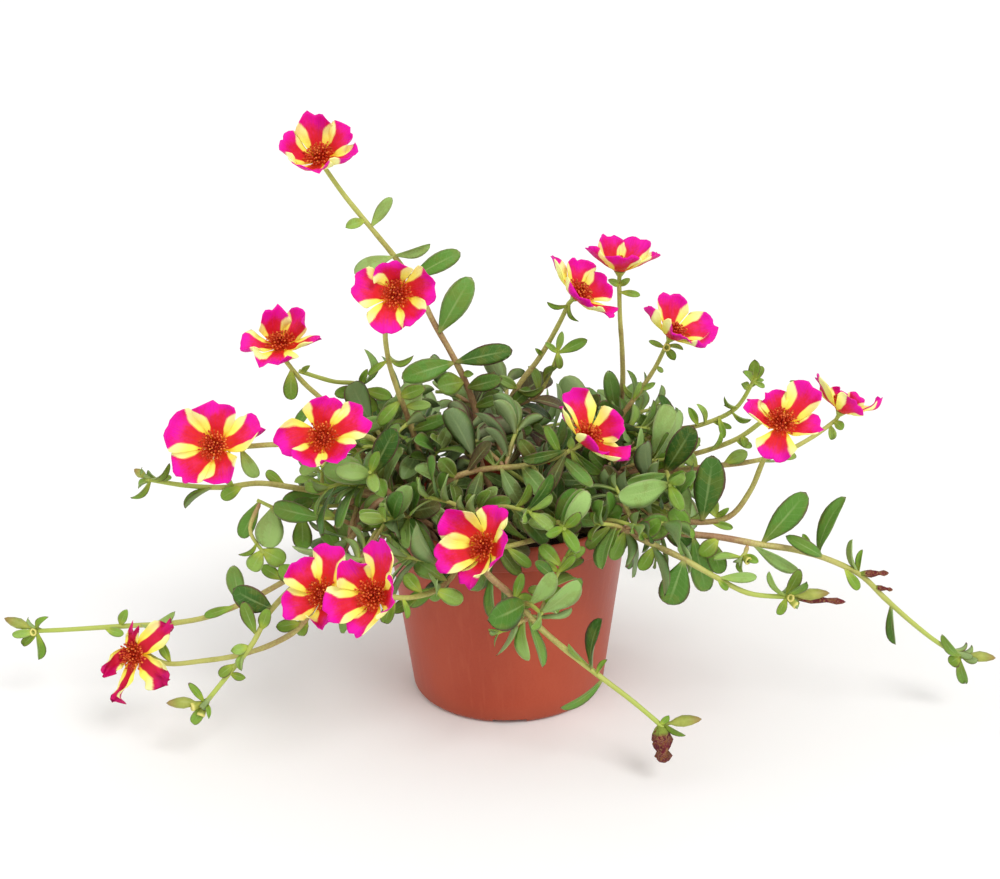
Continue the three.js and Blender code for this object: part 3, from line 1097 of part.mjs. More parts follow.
function nearestSpot(paths, u, v) {
  const sight = new THREE.Vector2(u, v);
  let best = null;
  let bestGap = Infinity;
  for (const path of paths) {
    for (let index = 0; index < path.length - 1; index += 1) {
      for (const part of SPOT_PARTS) {
        const spot = spotOn(path, index, part);
        const gap = drawn(spot.place).distanceTo(sight);
        if (gap < bestGap && !isBuried(spot.place)) {
          bestGap = gap;
          best = spot;
        }
      }
    }
  }
  return best;
}

// How many drawing units a millimetre covers at a place.
function unitsPerMillimetre(place) {
  return DRAWING.lens / -place.clone().sub(VIEWER).dot(TO_VIEWER);
}

function drawnLeaf(spot, [, , u, v, near, seen, bow], shift, turnSign) {
  const tip = at(u, v, spot.place.y - near - shift);
  const root = footAt(spot, tip.clone().sub(spot.place));
  const length = tip.distanceTo(root);
  const seenWidth = seen / unitsPerMillimetre(tip);
  const width = Math.max(seenWidth, length * SLENDEREST);
  const axis = tip.clone().sub(root).normalize();
  const facing = acrossFrom(axis, TO_VIEWER);
  const turn = Math.acos(Math.min(1, seenWidth / width)) * turnSign;
  facing.applyAxisAngle(axis, turn);
  return makeLeaf(root, tip, facing, width, bow);
}

function leafShape(leaf) {
  return leaf.length > LONG_LENGTH ? LONG_LEAF : SHORT_LEAF;
}

function addLeaf(plant, node, leaf) {
  plant.space.add(bladeBalls(leaf), node.name);
  node.solids.push(leafSolid(leaf, leafShape(leaf)));
}

function growDrawnLeaf(plant, node, row) {
  const spot = nearestSpot(node.paths, row[0], row[1]);
  const turnSign = (row[0] + row[1]) % 2 === 0 ? 1 : -1;
  for (const shift of DEPTH_SHIFTS) {
    const leaf = drawnLeaf(spot, row, shift, turnSign);
    if (plant.space.isClear(bladeBalls(leaf), node.name)) {
      addLeaf(plant, node, leaf);
      return;
    }
  }
}

// A leaf by the rule: it grows from one side of the stem and leans away from its heading.
function ruledLeaf(spot, side, lean, length) {
  const out = outwards(spot, ((side + 0.5) * Math.PI * 2) / spot.sides);
  const axis = spot.heading.clone().multiplyScalar(Math.cos(lean)).addScaledVector(out, Math.sin(lean));
  const root = footAt(spot, out);
  const tip = root.clone().addScaledVector(axis, length);
  return makeLeaf(root, tip, spot.heading, length * LEAF_BREADTH, LEAF_BOW);
}

function growRuledLeaf(plant, node, spot, side, lean, length) {
  for (let attempt = 0; attempt < spot.sides * 2; attempt += 1) {
    const shrunk = attempt < spot.sides ? length : length * LESSER;
    const leaf = ruledLeaf(spot, side + attempt, lean, shrunk);
    const balls = bladeBalls(leaf);
    if (plant.space.isClear(balls, node.name) && !hidesView(balls)) {
      addLeaf(plant, node, leaf);
      return;
    }
  }
}

function growLeavesAlong(plant, node, path, spacing, from, everywhere) {
  let walked = 0;
  let next = from;
  let side = Math.floor(node.random() * 4);
  for (let index = 0; index < path.length - 1; index += 1) {
    const span = path[index].place.distanceTo(path[index + 1].place);
    for (; next < walked + span; next += spacing) {
      const spot = spotOn(path, index, (next - walked) / span);
      const length = between(node.random, ...LEAF_LENGTH);
      const lean = between(node.random, ...LEAF_LEAN);
      side += LEAF_TURN;
      const share = bushShare(spot.place);
      if (!everywhere && (share < BUSH.heart || share > 1)) continue;
      growRuledLeaf(plant, node, spot, side, lean, length);
    }
    walked += span;
  }
}

function growRosette(plant, node, path, count, length) {
  for (let index = 0; index < count; index += 1) {
    const spot = spotOn(path, path.length - 2, ROSETTE.spots[index % 2]);
    growRuledLeaf(plant, node, spot, index, ROSETTE.lean, length);
  }
}

// A side stem: it starts as a point inside its stem and is full soon after it leaves it.
function sidePath(spot, points) {
  const direction = points[0].clone().sub(spot.place).normalize();
  const foot = footAt(spot, direction);
  const start = foot.clone().addScaledVector(direction, TWIG_RADIUS * TWIG_START.length);
  const startRadius = TWIG_RADIUS * TWIG_START.swell;
  const path = pathThrough([start, ...points], startRadius, TWIG_RADIUS, TWIG_STEP, TWIG_SIDES);
  const point = { ...path[0], place: foot.addScaledVector(direction, -ROOT_SINK), radius: 0 };
  return [point, ...path];
}

function growShoot(plant, node, path) {
  const usable = path.filter(({ place }, index) => {
    const share = bushShare(place);
    return index < path.length - 1 && share > 0 && share < SHOOT.start;
  });
  if (usable.length === 0) return;
  const index = path.indexOf(usable[Math.floor(node.random() * usable.length)]);
  const spot = spotOn(path, index, between(node.random, SPOT_PARTS[0], SPOT_PARTS[4]));
  for (let attempt = 0; attempt < MOST_TRIES; attempt += 1) {
    const turn = node.random() * Math.PI * 2;
    const rise = between(node.random, ...SHOOT.rise);
    const length = between(node.random, ...TWIG_LENGTH);
    const outward = new THREE.Vector3(spot.place.x, spot.place.y, 0).normalize();
    const way = new THREE.Vector3(Math.cos(turn), Math.sin(turn), rise);
    way.addScaledVector(outward, SHOOT.outward).normalize();
    const middle = spot.place.clone().addScaledVector(way, length * 0.5);
    const tip = spot.place.clone().addScaledVector(way, length);
    middle.z += length * SHOOT.arch;
    const twig = sidePath(spot, [middle, tip]);
    const balls = pathBalls(twig).slice(2);
    const share = bushShare(tip);
    if (share < BUSH.heart || share > SHOOT.farthest || hidesView(balls)) continue;
    if (!plant.space.isClear(balls, node.name)) continue;
    plant.space.add(balls, node.name);
    node.solids.push(tube(twig));
    growLeavesAlong(plant, node, twig, TWIG_SPACING, SHOOT.firstLeaf, true);
    growRosette(plant, node, twig, SHOOT.leaves, LEAF_LENGTH[0] * LESSER);
    return;
  }
}

// The straight stretch of a stem that stands in the soil.
function buriedEnd(first, [x, y]) {
  const heading = new THREE.Vector3(0, 0, 1);
  const across = acrossFrom(heading, first.across);
  const place = new THREE.Vector3(x, y, SOIL_TOP - ROOT_DEPTH);
  return { ...first, place, heading, across, beside: across.clone().cross(heading) };
}

// The stem widens into the calyx that holds its bloom.
function calyxSteps(last, bloom) {
  const across = acrossFrom(bloom.facing, last.across);
  const frame = { ...last, heading: bloom.facing, across, beside: across.clone().cross(bloom.facing) };
  const top = EYE_THICKNESS / 2 + FIT_GAP + 0.1;
  return [
    { ...frame, place: bloom.place.clone().addScaledVector(bloom.facing, -top - CALYX.neck),
      radius: CALYX.bottom },
    { ...frame, place: bloom.place.clone().addScaledVector(bloom.facing, -top), radius: CALYX.top },
  ];
}

function startNode(plant, stem, index) {
  const node = { name: stem.name, stem, random: randomFrom(index + FIRST_SEED), solids: [], paths: [] };
  const bloom = blooms[stem.bloom];
  const main = pathThrough(mainRoute(stem), stem.thick[0], stem.thick[1], STEM_STEP, STEM_SIDES);
  main.unshift(buriedEnd(main[0], stem.root));
  if (bloom) main.push(...calyxSteps(main[main.length - 1], bloom));
  node.paths.push(main);
  for (const [from, ...rest] of stem.twigs ?? []) {
    node.paths.push(sidePath(nearestSpot(node.paths, ...from), rest.map((place) => at(...place))));
  }
  for (const path of node.paths) {
    node.solids.push(tube(path));
    plant.space.add(pathBalls(path), node.name);
  }
  return node;
}

function growTips(plant, node) {
  const { stem } = node;
  const tables = [[stem.buds, BUD_PROFILE], [stem.spent, SPENT_PROFILE]];
  for (const [rows, profile] of tables) {
    for (const [u0, v0, u1, v1, near, seen] of rows ?? []) {
      const root = nearestSpot(node.paths, u0, v0).place;
      const tip = at(u1, v1, root.y - near);
      const width = seen / unitsPerMillimetre(tip);
      node.solids.push(turnedAlong(root, tip, width, profile));
    }
  }
}

function growPlant() {
  const plant = { space: new Space() };
  const nodes = STEMS.map((stem, index) => startNode(plant, stem, index));
  blooms.forEach((bloom, index) => plant.space.add(bloomBalls(bloom), `petals_${index + 1}`));
  for (const node of nodes) growTips(plant, node);
  for (const node of nodes) {
    for (const row of node.stem.leaves ?? []) growDrawnLeaf(plant, node, row);
  }
  for (const node of nodes) {
    for (const [u, v, count, length] of node.stem.rosettes ?? []) {
      growRosette(plant, node, pathEndingAt(node, u, v), count, length);
    }
    growLeavesAlong(plant, node, node.paths[0], LEAF_SPACING, FIRST_LEAF, node.stem.leafy);
    if (node.stem.leafy) growRosette(plant, node, node.paths[0], SHOOT.leaves, LEAF_LENGTH[0]);
    for (let shoot = 0; shoot < node.stem.shoots; shoot += 1) growShoot(plant, node, node.paths[0]);
  }
  return nodes;
}

function pathEndingAt(node, u, v) {
  const sight = new THREE.Vector2(u, v);
  const miss = (path) => drawn(path[path.length - 1].place).distanceTo(sight);
  return node.paths.reduce((best, path) => (miss(path) < miss(best) ? path : best));
}

// ---------------------------------------------------------------- the scene graph

const PALETTE = {
  pot: { color: 0xb5523a, roughness: 0.45 },
  soil: { color: 0x2b1f18, roughness: 0.95 },
  foliage: { color: 0x5c8a48, roughness: 0.5 },
  petals: { color: 0xee0f7c, roughness: 0.55 },
  stamens: { color: 0xd8451c, roughness: 0.6 },
};

const plantGroup = new THREE.Group();

function addMesh(name, manifold, { color, roughness }) {
  const material = new THREE.MeshStandardMaterial({ color, roughness, metalness: 0 });
  const mesh = new THREE.Mesh(toGeometry(largestBody(manifold)), material);
  mesh.name = name;
  plantGroup.add(mesh);
}

const nodes = growPlant();
const roots = STEMS.map(({ root, thick }) => (
  { x: root[0], y: root[1], radius: (thick[0] + FIT_GAP) / Math.cos(Math.PI / HOLE_SIDES) }
));

addMesh('pot', makePot(), PALETTE.pot);
addMesh('soil', makeSoil(roots), PALETTE.soil);
for (const node of nodes) {
  addMesh(node.name, node.solids.reduce((whole, solid) => whole.add(solid)), PALETTE.foliage);
}
blooms.forEach((bloom, index) => {
  addMesh(`petals_${index + 1}`, corollaSolid(bloom), PALETTE.petals);
  addMesh(`stamens_${index + 1}`, stamenSolid(bloom), PALETTE.stamens);
});

export default plantGroup;
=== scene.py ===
import itertools
import math
from collections import namedtuple

import bmesh
import bpy
import numpy as np
from mathutils import Matrix, Vector, noise


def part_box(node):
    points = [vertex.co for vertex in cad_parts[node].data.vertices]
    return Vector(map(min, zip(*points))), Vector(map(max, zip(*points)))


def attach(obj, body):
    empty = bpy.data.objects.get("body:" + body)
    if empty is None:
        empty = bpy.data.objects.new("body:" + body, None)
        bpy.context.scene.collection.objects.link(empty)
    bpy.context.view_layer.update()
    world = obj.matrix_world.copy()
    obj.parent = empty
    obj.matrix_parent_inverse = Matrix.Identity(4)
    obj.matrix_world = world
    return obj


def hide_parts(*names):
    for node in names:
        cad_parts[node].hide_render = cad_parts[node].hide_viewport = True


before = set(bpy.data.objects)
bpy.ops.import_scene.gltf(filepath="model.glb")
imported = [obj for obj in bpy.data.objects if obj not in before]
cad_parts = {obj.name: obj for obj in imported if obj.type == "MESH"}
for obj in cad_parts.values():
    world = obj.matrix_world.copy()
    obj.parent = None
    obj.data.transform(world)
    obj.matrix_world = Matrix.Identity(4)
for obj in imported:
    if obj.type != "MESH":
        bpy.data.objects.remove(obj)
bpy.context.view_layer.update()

# ---------------------------------------------------------------- the pot
#
# A 12 cm nursery pot, injection moulded in one piece from terracotta-coloured plastic. It has
# a plain collar with a rolled rim, a small step under the collar, a rounded foot, four shallow
# drain notches in the foot and a drain hole behind each notch.

MM = 0.001
pot_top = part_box("pot")[1]
RIM_RADIUS = pot_top[0] / MM
POT_HEIGHT = pot_top[2] / MM
COLLAR_HEIGHT = 83
COLLAR_STEP = 1.3
COLLAR_RADIUS = 58.6
BASE_RADIUS = 46.6
BASE_FILLET = 3.6
WALL = 1.8
WALL_HEIGHTS = (20, 40, 60)
FLOOR = 4.6
NOTCH = dict(count=4, width=16, height=2.2, depth=11)
DRAIN = dict(radius=3.2, from_axis=39, steps=24)
POT_STEPS = 160
TURNING_STEPS = 6
SHARP_EDGE = 35


def pot_radius(z):
    """The outside of the pot's wall at a height, in mm."""
    rise = min(z, COLLAR_HEIGHT) / COLLAR_HEIGHT
    if z < COLLAR_HEIGHT:
        return BASE_RADIUS + (COLLAR_RADIUS - COLLAR_STEP - BASE_RADIUS) * rise
    collar_rise = (z - COLLAR_HEIGHT) / (POT_HEIGHT - COLLAR_HEIGHT)
    return COLLAR_RADIUS + (RIM_RADIUS - COLLAR_RADIUS) * collar_rise


def inner_radius(z):
    return pot_radius(min(z, COLLAR_HEIGHT - 0.01)) - WALL


def arc(middle, radius, start, end):
    """Points round a turning of the outline, between two angles in degrees."""
    for step in range(TURNING_STEPS + 1):
        turn = math.radians(start + (end - start) * step / TURNING_STEPS)
        yield (middle[0] + radius * math.cos(turn), middle[1] + radius * math.sin(turn))


def turned_mesh(name, outline, steps):
    """A closed shell from an outline of (radius, height) in mm that starts and ends on the axis."""
    shell = bmesh.new()
    rings = []
    for radius, height in outline:
        count = 1 if radius == 0 else steps
        ring = []
        for step in range(count):
            turn = 2 * math.pi * step / steps
            place = (radius * math.cos(turn) * MM, radius * math.sin(turn) * MM, height * MM)
            ring.append(shell.verts.new(place))
        rings.append(ring)
    for lower, upper in zip(rings, rings[1:]):
        for step in range(steps):
            following = (step + 1) % steps
            corners = [lower[step % len(lower)], lower[following % len(lower)],
                       upper[following % len(upper)], upper[step % len(upper)]]
            shell.faces.new(list(dict.fromkeys(corners)))
    bmesh.ops.recalc_face_normals(shell, faces=shell.faces)
    mesh = bpy.data.meshes.new(name)
    shell.to_mesh(mesh)
    shell.free()
    return mesh


def place_object(name, data):
    made = bpy.data.objects.new(name, data)
    bpy.context.scene.collection.objects.link(made)
    return made


def settled_mesh(carrier):
    """The carrier's mesh as its modifiers leave it. The carrier itself is taken away."""
    depsgraph = bpy.context.evaluated_depsgraph_get()
    mesh = bpy.data.meshes.new_from_object(
        carrier.evaluated_get(depsgraph), preserve_all_data_layers=True, depsgraph=depsgraph)
    carrier.modifiers.clear()
    bpy.data.objects.remove(carrier)
    return mesh


def box_mesh(name, size, place):
    """A block of a size and middle in mm."""
    block = bmesh.new()
    bmesh.ops.create_cube(block, size=1)
    bmesh.ops.scale(block, vec=[side * MM for side in size], verts=block.verts)
    bmesh.ops.translate(block, vec=[side * MM for side in place], verts=block.verts)
    mesh = bpy.data.meshes.new(name)
    block.to_mesh(mesh)
    block.free()
    return mesh


def pot_mesh():
    foot = pot_radius(BASE_FILLET) - BASE_FILLET
    rim = WALL / 2
    under_collar = pot_radius(COLLAR_HEIGHT - 0.01)
    outline = [(0, 0)]
    outline += arc((foot, BASE_FILLET), BASE_FILLET, -90, 0)
    outline += [(pot_radius(z), z) for z in (*WALL_HEIGHTS, COLLAR_HEIGHT - 2)]
    outline += [(under_collar, COLLAR_HEIGHT - 0.5), (COLLAR_RADIUS - 0.5, COLLAR_HEIGHT)]
    outline += [(COLLAR_RADIUS, COLLAR_HEIGHT + 0.6), (RIM_RADIUS - 0.2, POT_HEIGHT - rim * 2)]
    outline += arc((RIM_RADIUS - rim, POT_HEIGHT - rim), rim, 0, 180)
    outline += [(RIM_RADIUS - WALL, POT_HEIGHT - 4)]
    outline += [(inner_radius(COLLAR_HEIGHT), COLLAR_HEIGHT - 2)]
    outline += [(inner_radius(z), z) for z in (*reversed(WALL_HEIGHTS), FLOOR + 1)]
    outline += [(inner_radius(FLOOR) - 1, FLOOR), (0, FLOOR)]
    pot = place_object("pot_blank", turned_mesh("pot_blank", outline, POT_STEPS))
    cutters = []
    for side in range(NOTCH["count"]):
        turn = 2 * math.pi * side / NOTCH["count"]
        notch_size = (NOTCH["width"], NOTCH["depth"] * 2, NOTCH["height"] * 2)
        notch = box_mesh("notch", notch_size, (0, -BASE_RADIUS, 0))
        hole = turned_mesh("drain", [(0, -FLOOR), (DRAIN["radius"], -FLOOR),
                                     (DRAIN["radius"], FLOOR * 2), (0, FLOOR * 2)], DRAIN["steps"])
        hole.transform(Matrix.Translation((0, -DRAIN["from_axis"] * MM, 0)))
        for mesh in (notch, hole):
            mesh.transform(Matrix.Rotation(turn, 4, "Z"))
            cutters.append(place_object("cutter", mesh))
    for cutter in cutters:
        cut = pot.modifiers.new("cut", "BOOLEAN")
        cut.object = cutter
        cut.operation = "DIFFERENCE"
    mesh = settled_mesh(pot)
    for cutter in cutters:
        bpy.data.objects.remove(cutter)
    return mesh


def node(tree, kind, inputs=None, **settings):
    """A new node, with its settings, and its inputs given as values or linked from sockets."""
    made = tree.nodes.new(kind)
    for name, value in settings.items():
        setattr(made, name, value)
    for key, value in (inputs or {}).items():
        if isinstance(value, bpy.types.NodeSocket):
            tree.links.new(value, made.inputs[key])
        else:
            made.inputs[key].default_value = value
    return made


def maths(tree, operation, *values):
    return node(tree, "ShaderNodeMath", dict(enumerate(values)), operation=operation).outputs[0]


def times(tree, one, other):
    return maths(tree, "MULTIPLY", one, other)


def colour(hexadecimal):
    """A colour written as on a paint card, turned to linear light."""
    shares = [int(hexadecimal[first:first + 2], 16) / 255 for first in (0, 2, 4)]
    linear = [share / 12.92 if share <= 0.04045 else ((share + 0.055) / 1.055) ** 2.4
              for share in shares]
    return (*linear, 1)


def blended(tree, share, *shades):
    """One shade where the share is 0 and the other where it is 1: sockets or paint card codes."""
    one, other = (colour(shade) if isinstance(shade, str) else shade for shade in shades)
    mix = node(tree, "ShaderNodeMix", {0: share, 6: one, 7: other}, data_type="RGBA")
    return mix.outputs[2]


def stepped(tree, value, low, high):
    """0 below low, 1 above high and a soft climb between them."""
    climb = node(tree, "ShaderNodeMapRange", {0: value, 1: low, 2: high},
                 interpolation_type="SMOOTHSTEP")
    return climb.outputs[0]


def ranged(tree, share, low, high):
    """A value between low and high, by a share from 0 to 1."""
    return node(tree, "ShaderNodeMapRange", {0: share, 3: low, 4: high}).outputs[0]


def new_finish(name, roughness, specular=0.5):
    """A material with its shader, and the Object coordinates that its patterns read."""
    finish = bpy.data.materials.new(name)
    finish.use_nodes = True
    tree = finish.node_tree
    shader = tree.nodes["Principled BSDF"]
    shader.inputs["Roughness"].default_value = roughness
    shader.inputs["Specular IOR Level"].default_value = specular
    place = node(tree, "ShaderNodeTexCoord").outputs["Object"]
    return finish, tree, shader, place


def noise_group():
    """Soft cloudy variation in two sizes, which every grown or moulded surface has."""
    group = bpy.data.node_groups.new("cloudy", "ShaderNodeTree")
    for name, kind in (("Place", "Vector"), ("Coarse scale", "Float"), ("Fine scale", "Float"),
                       ("Fine share", "Float")):
        group.interface.new_socket(name=name, in_out="INPUT", socket_type=f"NodeSocket{kind}")
    for name in ("Cloud", "Height"):
        group.interface.new_socket(name=name, in_out="OUTPUT", socket_type="NodeSocketFloat")
    given = group.nodes.new("NodeGroupInput").outputs
    coarse = node(group, "ShaderNodeTexNoise",
                  {"Vector": given["Place"], "Scale": given["Coarse scale"], "Detail": 3.0})
    fine = node(group, "ShaderNodeTexNoise",
                {"Vector": given["Place"], "Scale": given["Fine scale"], "Detail": 4.0})
    coarse_cloud = stepped(group, coarse.outputs[0], 0.3, 0.7)
    fine_cloud = stepped(group, fine.outputs[0], 0.25, 0.75)
    mixed = node(group, "ShaderNodeMix", {0: given["Fine share"], 2: coarse_cloud, 3: fine_cloud})
    node(group, "NodeGroupOutput", {"Cloud": mixed.outputs[0], "Height": fine_cloud})
    return group


cloudy = noise_group()


def clouds(tree, place, coarse_scale, fine_scale, fine_share):
    """The cloudy group in a material: its mask and its height."""
    group = node(tree, "ShaderNodeGroup", node_tree=cloudy)
    tree.links.new(place, group.inputs["Place"])
    group.inputs["Coarse scale"].default_value = coarse_scale
    group.inputs["Fine scale"].default_value = fine_scale
    group.inputs["Fine share"].default_value = fine_share
    return group.outputs["Cloud"], group.outputs["Height"]


def coat(tree, shader, skin, height, strength, distance):
    """Gives a shader the colours of its skin and the relief of its surface."""
    bump = node(tree, "ShaderNodeBump", {
        "Height": height, "Strength": strength, "Distance": distance})
    tree.links.new(bump.outputs[0], shader.inputs["Normal"])
    tree.links.new(skin, shader.inputs["Base Color"])


def pot_plastic():
    """Terracotta plastic with faint upright flow marks, darker towards the foot, and a satin grain."""
    finish, tree, shader, place = new_finish("pot_plastic", 0.42, 0.35)
    stretched = node(tree, "ShaderNodeMapping", {"Vector": place, "Scale": (1, 1, 0.03)}).outputs[0]
    flow = node(tree, "ShaderNodeTexNoise", {
        "Vector": stretched, "Scale": 420.0, "Detail": 3.0}).outputs[0]
    cloud, grain = clouds(tree, place, 22.0, 900.0, 0.25)
    body = blended(tree, cloud, "A43E24", "B04A2E")
    streaked = blended(tree, stepped(tree, flow, 0.5, 0.8), body, "AE4A2E")
    height = node(tree, "ShaderNodeSeparateXYZ", {0: place}).outputs[2]
    # The lowest 12 mm are blended towards a darker brown, so the pot is darker towards the bottom.
    foot_darkening = times(tree, stepped(tree, height, 0.012, 0.0), 0.35)
    tree.links.new(ranged(tree, cloud, 0.34, 0.5), shader.inputs["Roughness"])
    coat(tree, shader, blended(tree, foot_darkening, streaked, "8E4A34"), grain, 0.12, 0.0002)
    return finish


def finished(piece, smooth_angle=None):
    """Shades a finished mesh smooth, keeping edges sharper than an angle."""
    mesh = piece.data
    mesh.polygons.foreach_set("use_smooth", [True] * len(mesh.polygons))
    if smooth_angle is not None:
        mesh.set_sharp_from_angle(angle=math.radians(smooth_angle))
    mesh.update()


def add_piece(name, mesh, slot, *nodes):
    """A finished piece of the object, standing for the CAD nodes that it replaces."""
    piece = place_object(name, mesh)
    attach(piece, "root")
    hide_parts(*nodes)
    return piece


pot_blank = pot_mesh()
pot_blank.materials.clear()
pot_blank.materials.append(pot_plastic())
finished(add_piece("pot_moulding", pot_blank, "pot", "pot"), SHARP_EDGE)

# ---------------------------------------------------------------- the soil
#
# Peat-based potting soil, filled to a finger's breadth under the rim. Its top is lumpy and
# strewn with loose crumbs of peat, some of them specked paler.

soil_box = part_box("soil")
SOIL_TOP = soil_box[1][2] / MM
SOIL_LUMP = 1.4
COARSE_LUMPS = 9
FINE_LUMPS = 3
SOIL_RINGS = 26
SOIL_STEPS = 96
CRUMB_SIZE = 1.7
CRUMBS_PER_SQUARE_METRE = 60000


def geometry_tree(name, inputs):
    """A Geometry Nodes tree with named inputs, given as (name, socket kind)."""
    tree = bpy.data.node_groups.new(name, "GeometryNodeTree")
    for label, kind in [("Geometry", "Geometry"), *inputs]:
        tree.interface.new_socket(name=label, in_out="INPUT", socket_type=f"NodeSocket{kind}")
    tree.interface.new_socket(name="Geometry", in_out="OUTPUT", socket_type="NodeSocketGeometry")
    return tree, tree.nodes.new("NodeGroupInput").outputs


def finish_tree(tree, geometry, finish):
    """The end of every tree: real geometry, smooth, in its material."""
    real = node(tree, "GeometryNodeRealizeInstances", {"Geometry": geometry}).outputs[0]
    smooth = node(tree, "GeometryNodeSetShadeSmooth", {"Geometry": real}).outputs[0]
    coated = node(tree, "GeometryNodeSetMaterial", {"Geometry": smooth, "Material": finish})
    node(tree, "NodeGroupOutput", {"Geometry": coated.outputs[0]})


def grown_mesh(source, tree, values):
    """What a tree makes of a source mesh with these input values, as a plain mesh."""
    carrier = place_object(tree.name, source)
    modifier = carrier.modifiers.new(tree.name, "NODES")
    modifier.node_group = tree
    for item in tree.interface.items_tree:
        if item.in_out == "INPUT" and item.name in values:
            modifier[item.identifier] = values[item.name]
    return settled_mesh(carrier)


def crumb_tree():
    tree, given = geometry_tree("crumbs", [
        ("Crumb", "Object"), ("Size", "Float"), ("Density", "Float"), ("Seed", "Int"),
        ("Finish", "Material")])
    spots = node(tree, "GeometryNodeDistributePointsOnFaces", {
        "Mesh": given["Geometry"], "Density": given["Density"], "Seed": given["Seed"]}).outputs
    crumb = node(tree, "GeometryNodeObjectInfo", {"Object": given["Crumb"]}).outputs["Geometry"]
    turn = node(tree, "FunctionNodeRandomValue", {"Max": (6.3, 6.3, 6.3), "Seed": given["Seed"]},
                data_type="FLOAT_VECTOR").outputs[0]
    spread = node(tree, "FunctionNodeRandomValue",
                  {"Min": (0.35, 0.35, 0.3), "Max": (1.2, 1.0, 0.8), "Seed": given["Seed"]},
                  data_type="FLOAT_VECTOR").outputs[0]
    size = node(tree, "ShaderNodeVectorMath", {0: spread, "Scale": given["Size"]}, operation="SCALE")
    crumbs = node(tree, "GeometryNodeInstanceOnPoints", {
        "Points": spots["Points"], "Instance": crumb, "Rotation": turn, "Scale": size.outputs[0]})
    finish_tree(tree, crumbs.outputs[0], given["Finish"])
    return tree


def soil_mesh():
    """The plug of soil, with a lumpy top."""
    bottom = soil_box[0][2] / MM
    outline = [(0, bottom), (inner_radius(FLOOR) - 0.6, bottom)]
    edge = inner_radius(SOIL_TOP) - 0.4
    outline += [(edge * (SOIL_RINGS - ring) / SOIL_RINGS, SOIL_TOP) for ring in range(SOIL_RINGS)]
    mesh = turned_mesh("soil", [*outline, (0, SOIL_TOP)], SOIL_STEPS)
    for vertex in mesh.vertices:
        if vertex.co.z > (SOIL_TOP - 1) * MM:
            lump = noise.noise(vertex.co / (COARSE_LUMPS * MM))
            lump += 0.5 * noise.noise(vertex.co / (FINE_LUMPS * MM))
            vertex.co.z += lump * SOIL_LUMP * MM
    return mesh


def soil_crumb():
    crumb = bmesh.new()
    bmesh.ops.create_icosphere(crumb, subdivisions=1, radius=1)
    for vertex in crumb.verts:
        vertex.co *= 1 + 0.35 * noise.noise(vertex.co * 2.1)
    mesh = bpy.data.meshes.new("crumb")
    crumb.to_mesh(mesh)
    crumb.free()
    return mesh


def soil_finish():
    """Moist peat: nearly black brown, with paler specks."""
    finish, tree, shader, place = new_finish("potting_soil", 0.95, 0.2)
    cloud, grain = clouds(tree, place, 160.0, 700.0, 0.45)
    dark = blended(tree, cloud, "1C130E", "4A3526")
    specks = node(tree, "ShaderNodeTexNoise", {
        "Vector": place, "Scale": 420.0, "Detail": 1.0}).outputs[0]
    skin = blended(tree, stepped(tree, specks, 0.66, 0.74), dark, "7A624A")
    coat(tree, shader, skin, grain, 0.6, 0.0006)
    return finish


def joined(name, meshes):
    """Several meshes as one, each keeping its materials and attributes."""
    objects = [place_object(name, mesh) for mesh in meshes if len(mesh.vertices)]
    with bpy.context.temp_override(
            active_object=objects[0], selected_objects=objects, selected_editable_objects=objects):
        bpy.ops.object.join()
    mesh = objects[0].data
    bpy.data.objects.remove(objects[0])
    mesh.name = name
    return mesh


soil_coat = soil_finish()
soil_plug = soil_mesh()
soil_plug.materials.append(soil_coat)
soil_top = bpy.data.meshes.new("soil_top")
top_faces = bmesh.new()
top_faces.from_mesh(soil_plug)
low_faces = [face for face in top_faces.faces
             if face.calc_center_median().z < (SOIL_TOP - 2) * MM]
bmesh.ops.delete(top_faces, geom=low_faces, context="FACES")
top_faces.to_mesh(soil_top)
top_faces.free()
crumb_shape = place_object("crumb_shape", soil_crumb())
crumbs = grown_mesh(soil_top, crumb_tree(), {
    "Crumb": crumb_shape, "Size": CRUMB_SIZE * MM, "Density": CRUMBS_PER_SQUARE_METRE, "Seed": 3,
    "Finish": soil_coat})
bpy.data.objects.remove(crumb_shape)
finished(add_piece("soil_fill", joined("soil_fill", [soil_plug, crumbs]), "soil", "soil"))

# ---------------------------------------------------------------- the stems
#
# Fleshy stems, greenish straw towards their tips and reddish brown towards the soil. Fifteen
# rise and carry a bloom each, nine trail or stand as sprays without one, and three lean out
# at the back. They are set out on a front drawing, seen from a little above.

# The drawing's units run right (u) and down (v). A third number gives how far behind the pot's
# axis (y, in mm) the point lies, and a negative one lies in front.
MIDDLE = (500, 439.5)
LENS = 1490
DISTANCE = 700
RISE = math.radians(19.5)
ROLL = math.radians(0.8)
AIM = np.array([-2.7, 0, 125])
TO_VIEWER = np.array([0, -math.cos(RISE), math.sin(RISE)])
DRAWN_RIGHT = np.array([1.0, 0, 0])
DRAWN_UP = np.array([0, math.sin(RISE), math.cos(RISE)])
VIEWER = AIM + TO_VIEWER * DISTANCE

ROOT_DEPTH = 11
STEM_SIDES = 4
STEM_STEP = 17
TWIG_SIDES = 3
TWIG_STEP = 16
TWIG_RADIUS = 0.95
ROOT_SINK = 1.1
FIT_GAP = 0.3

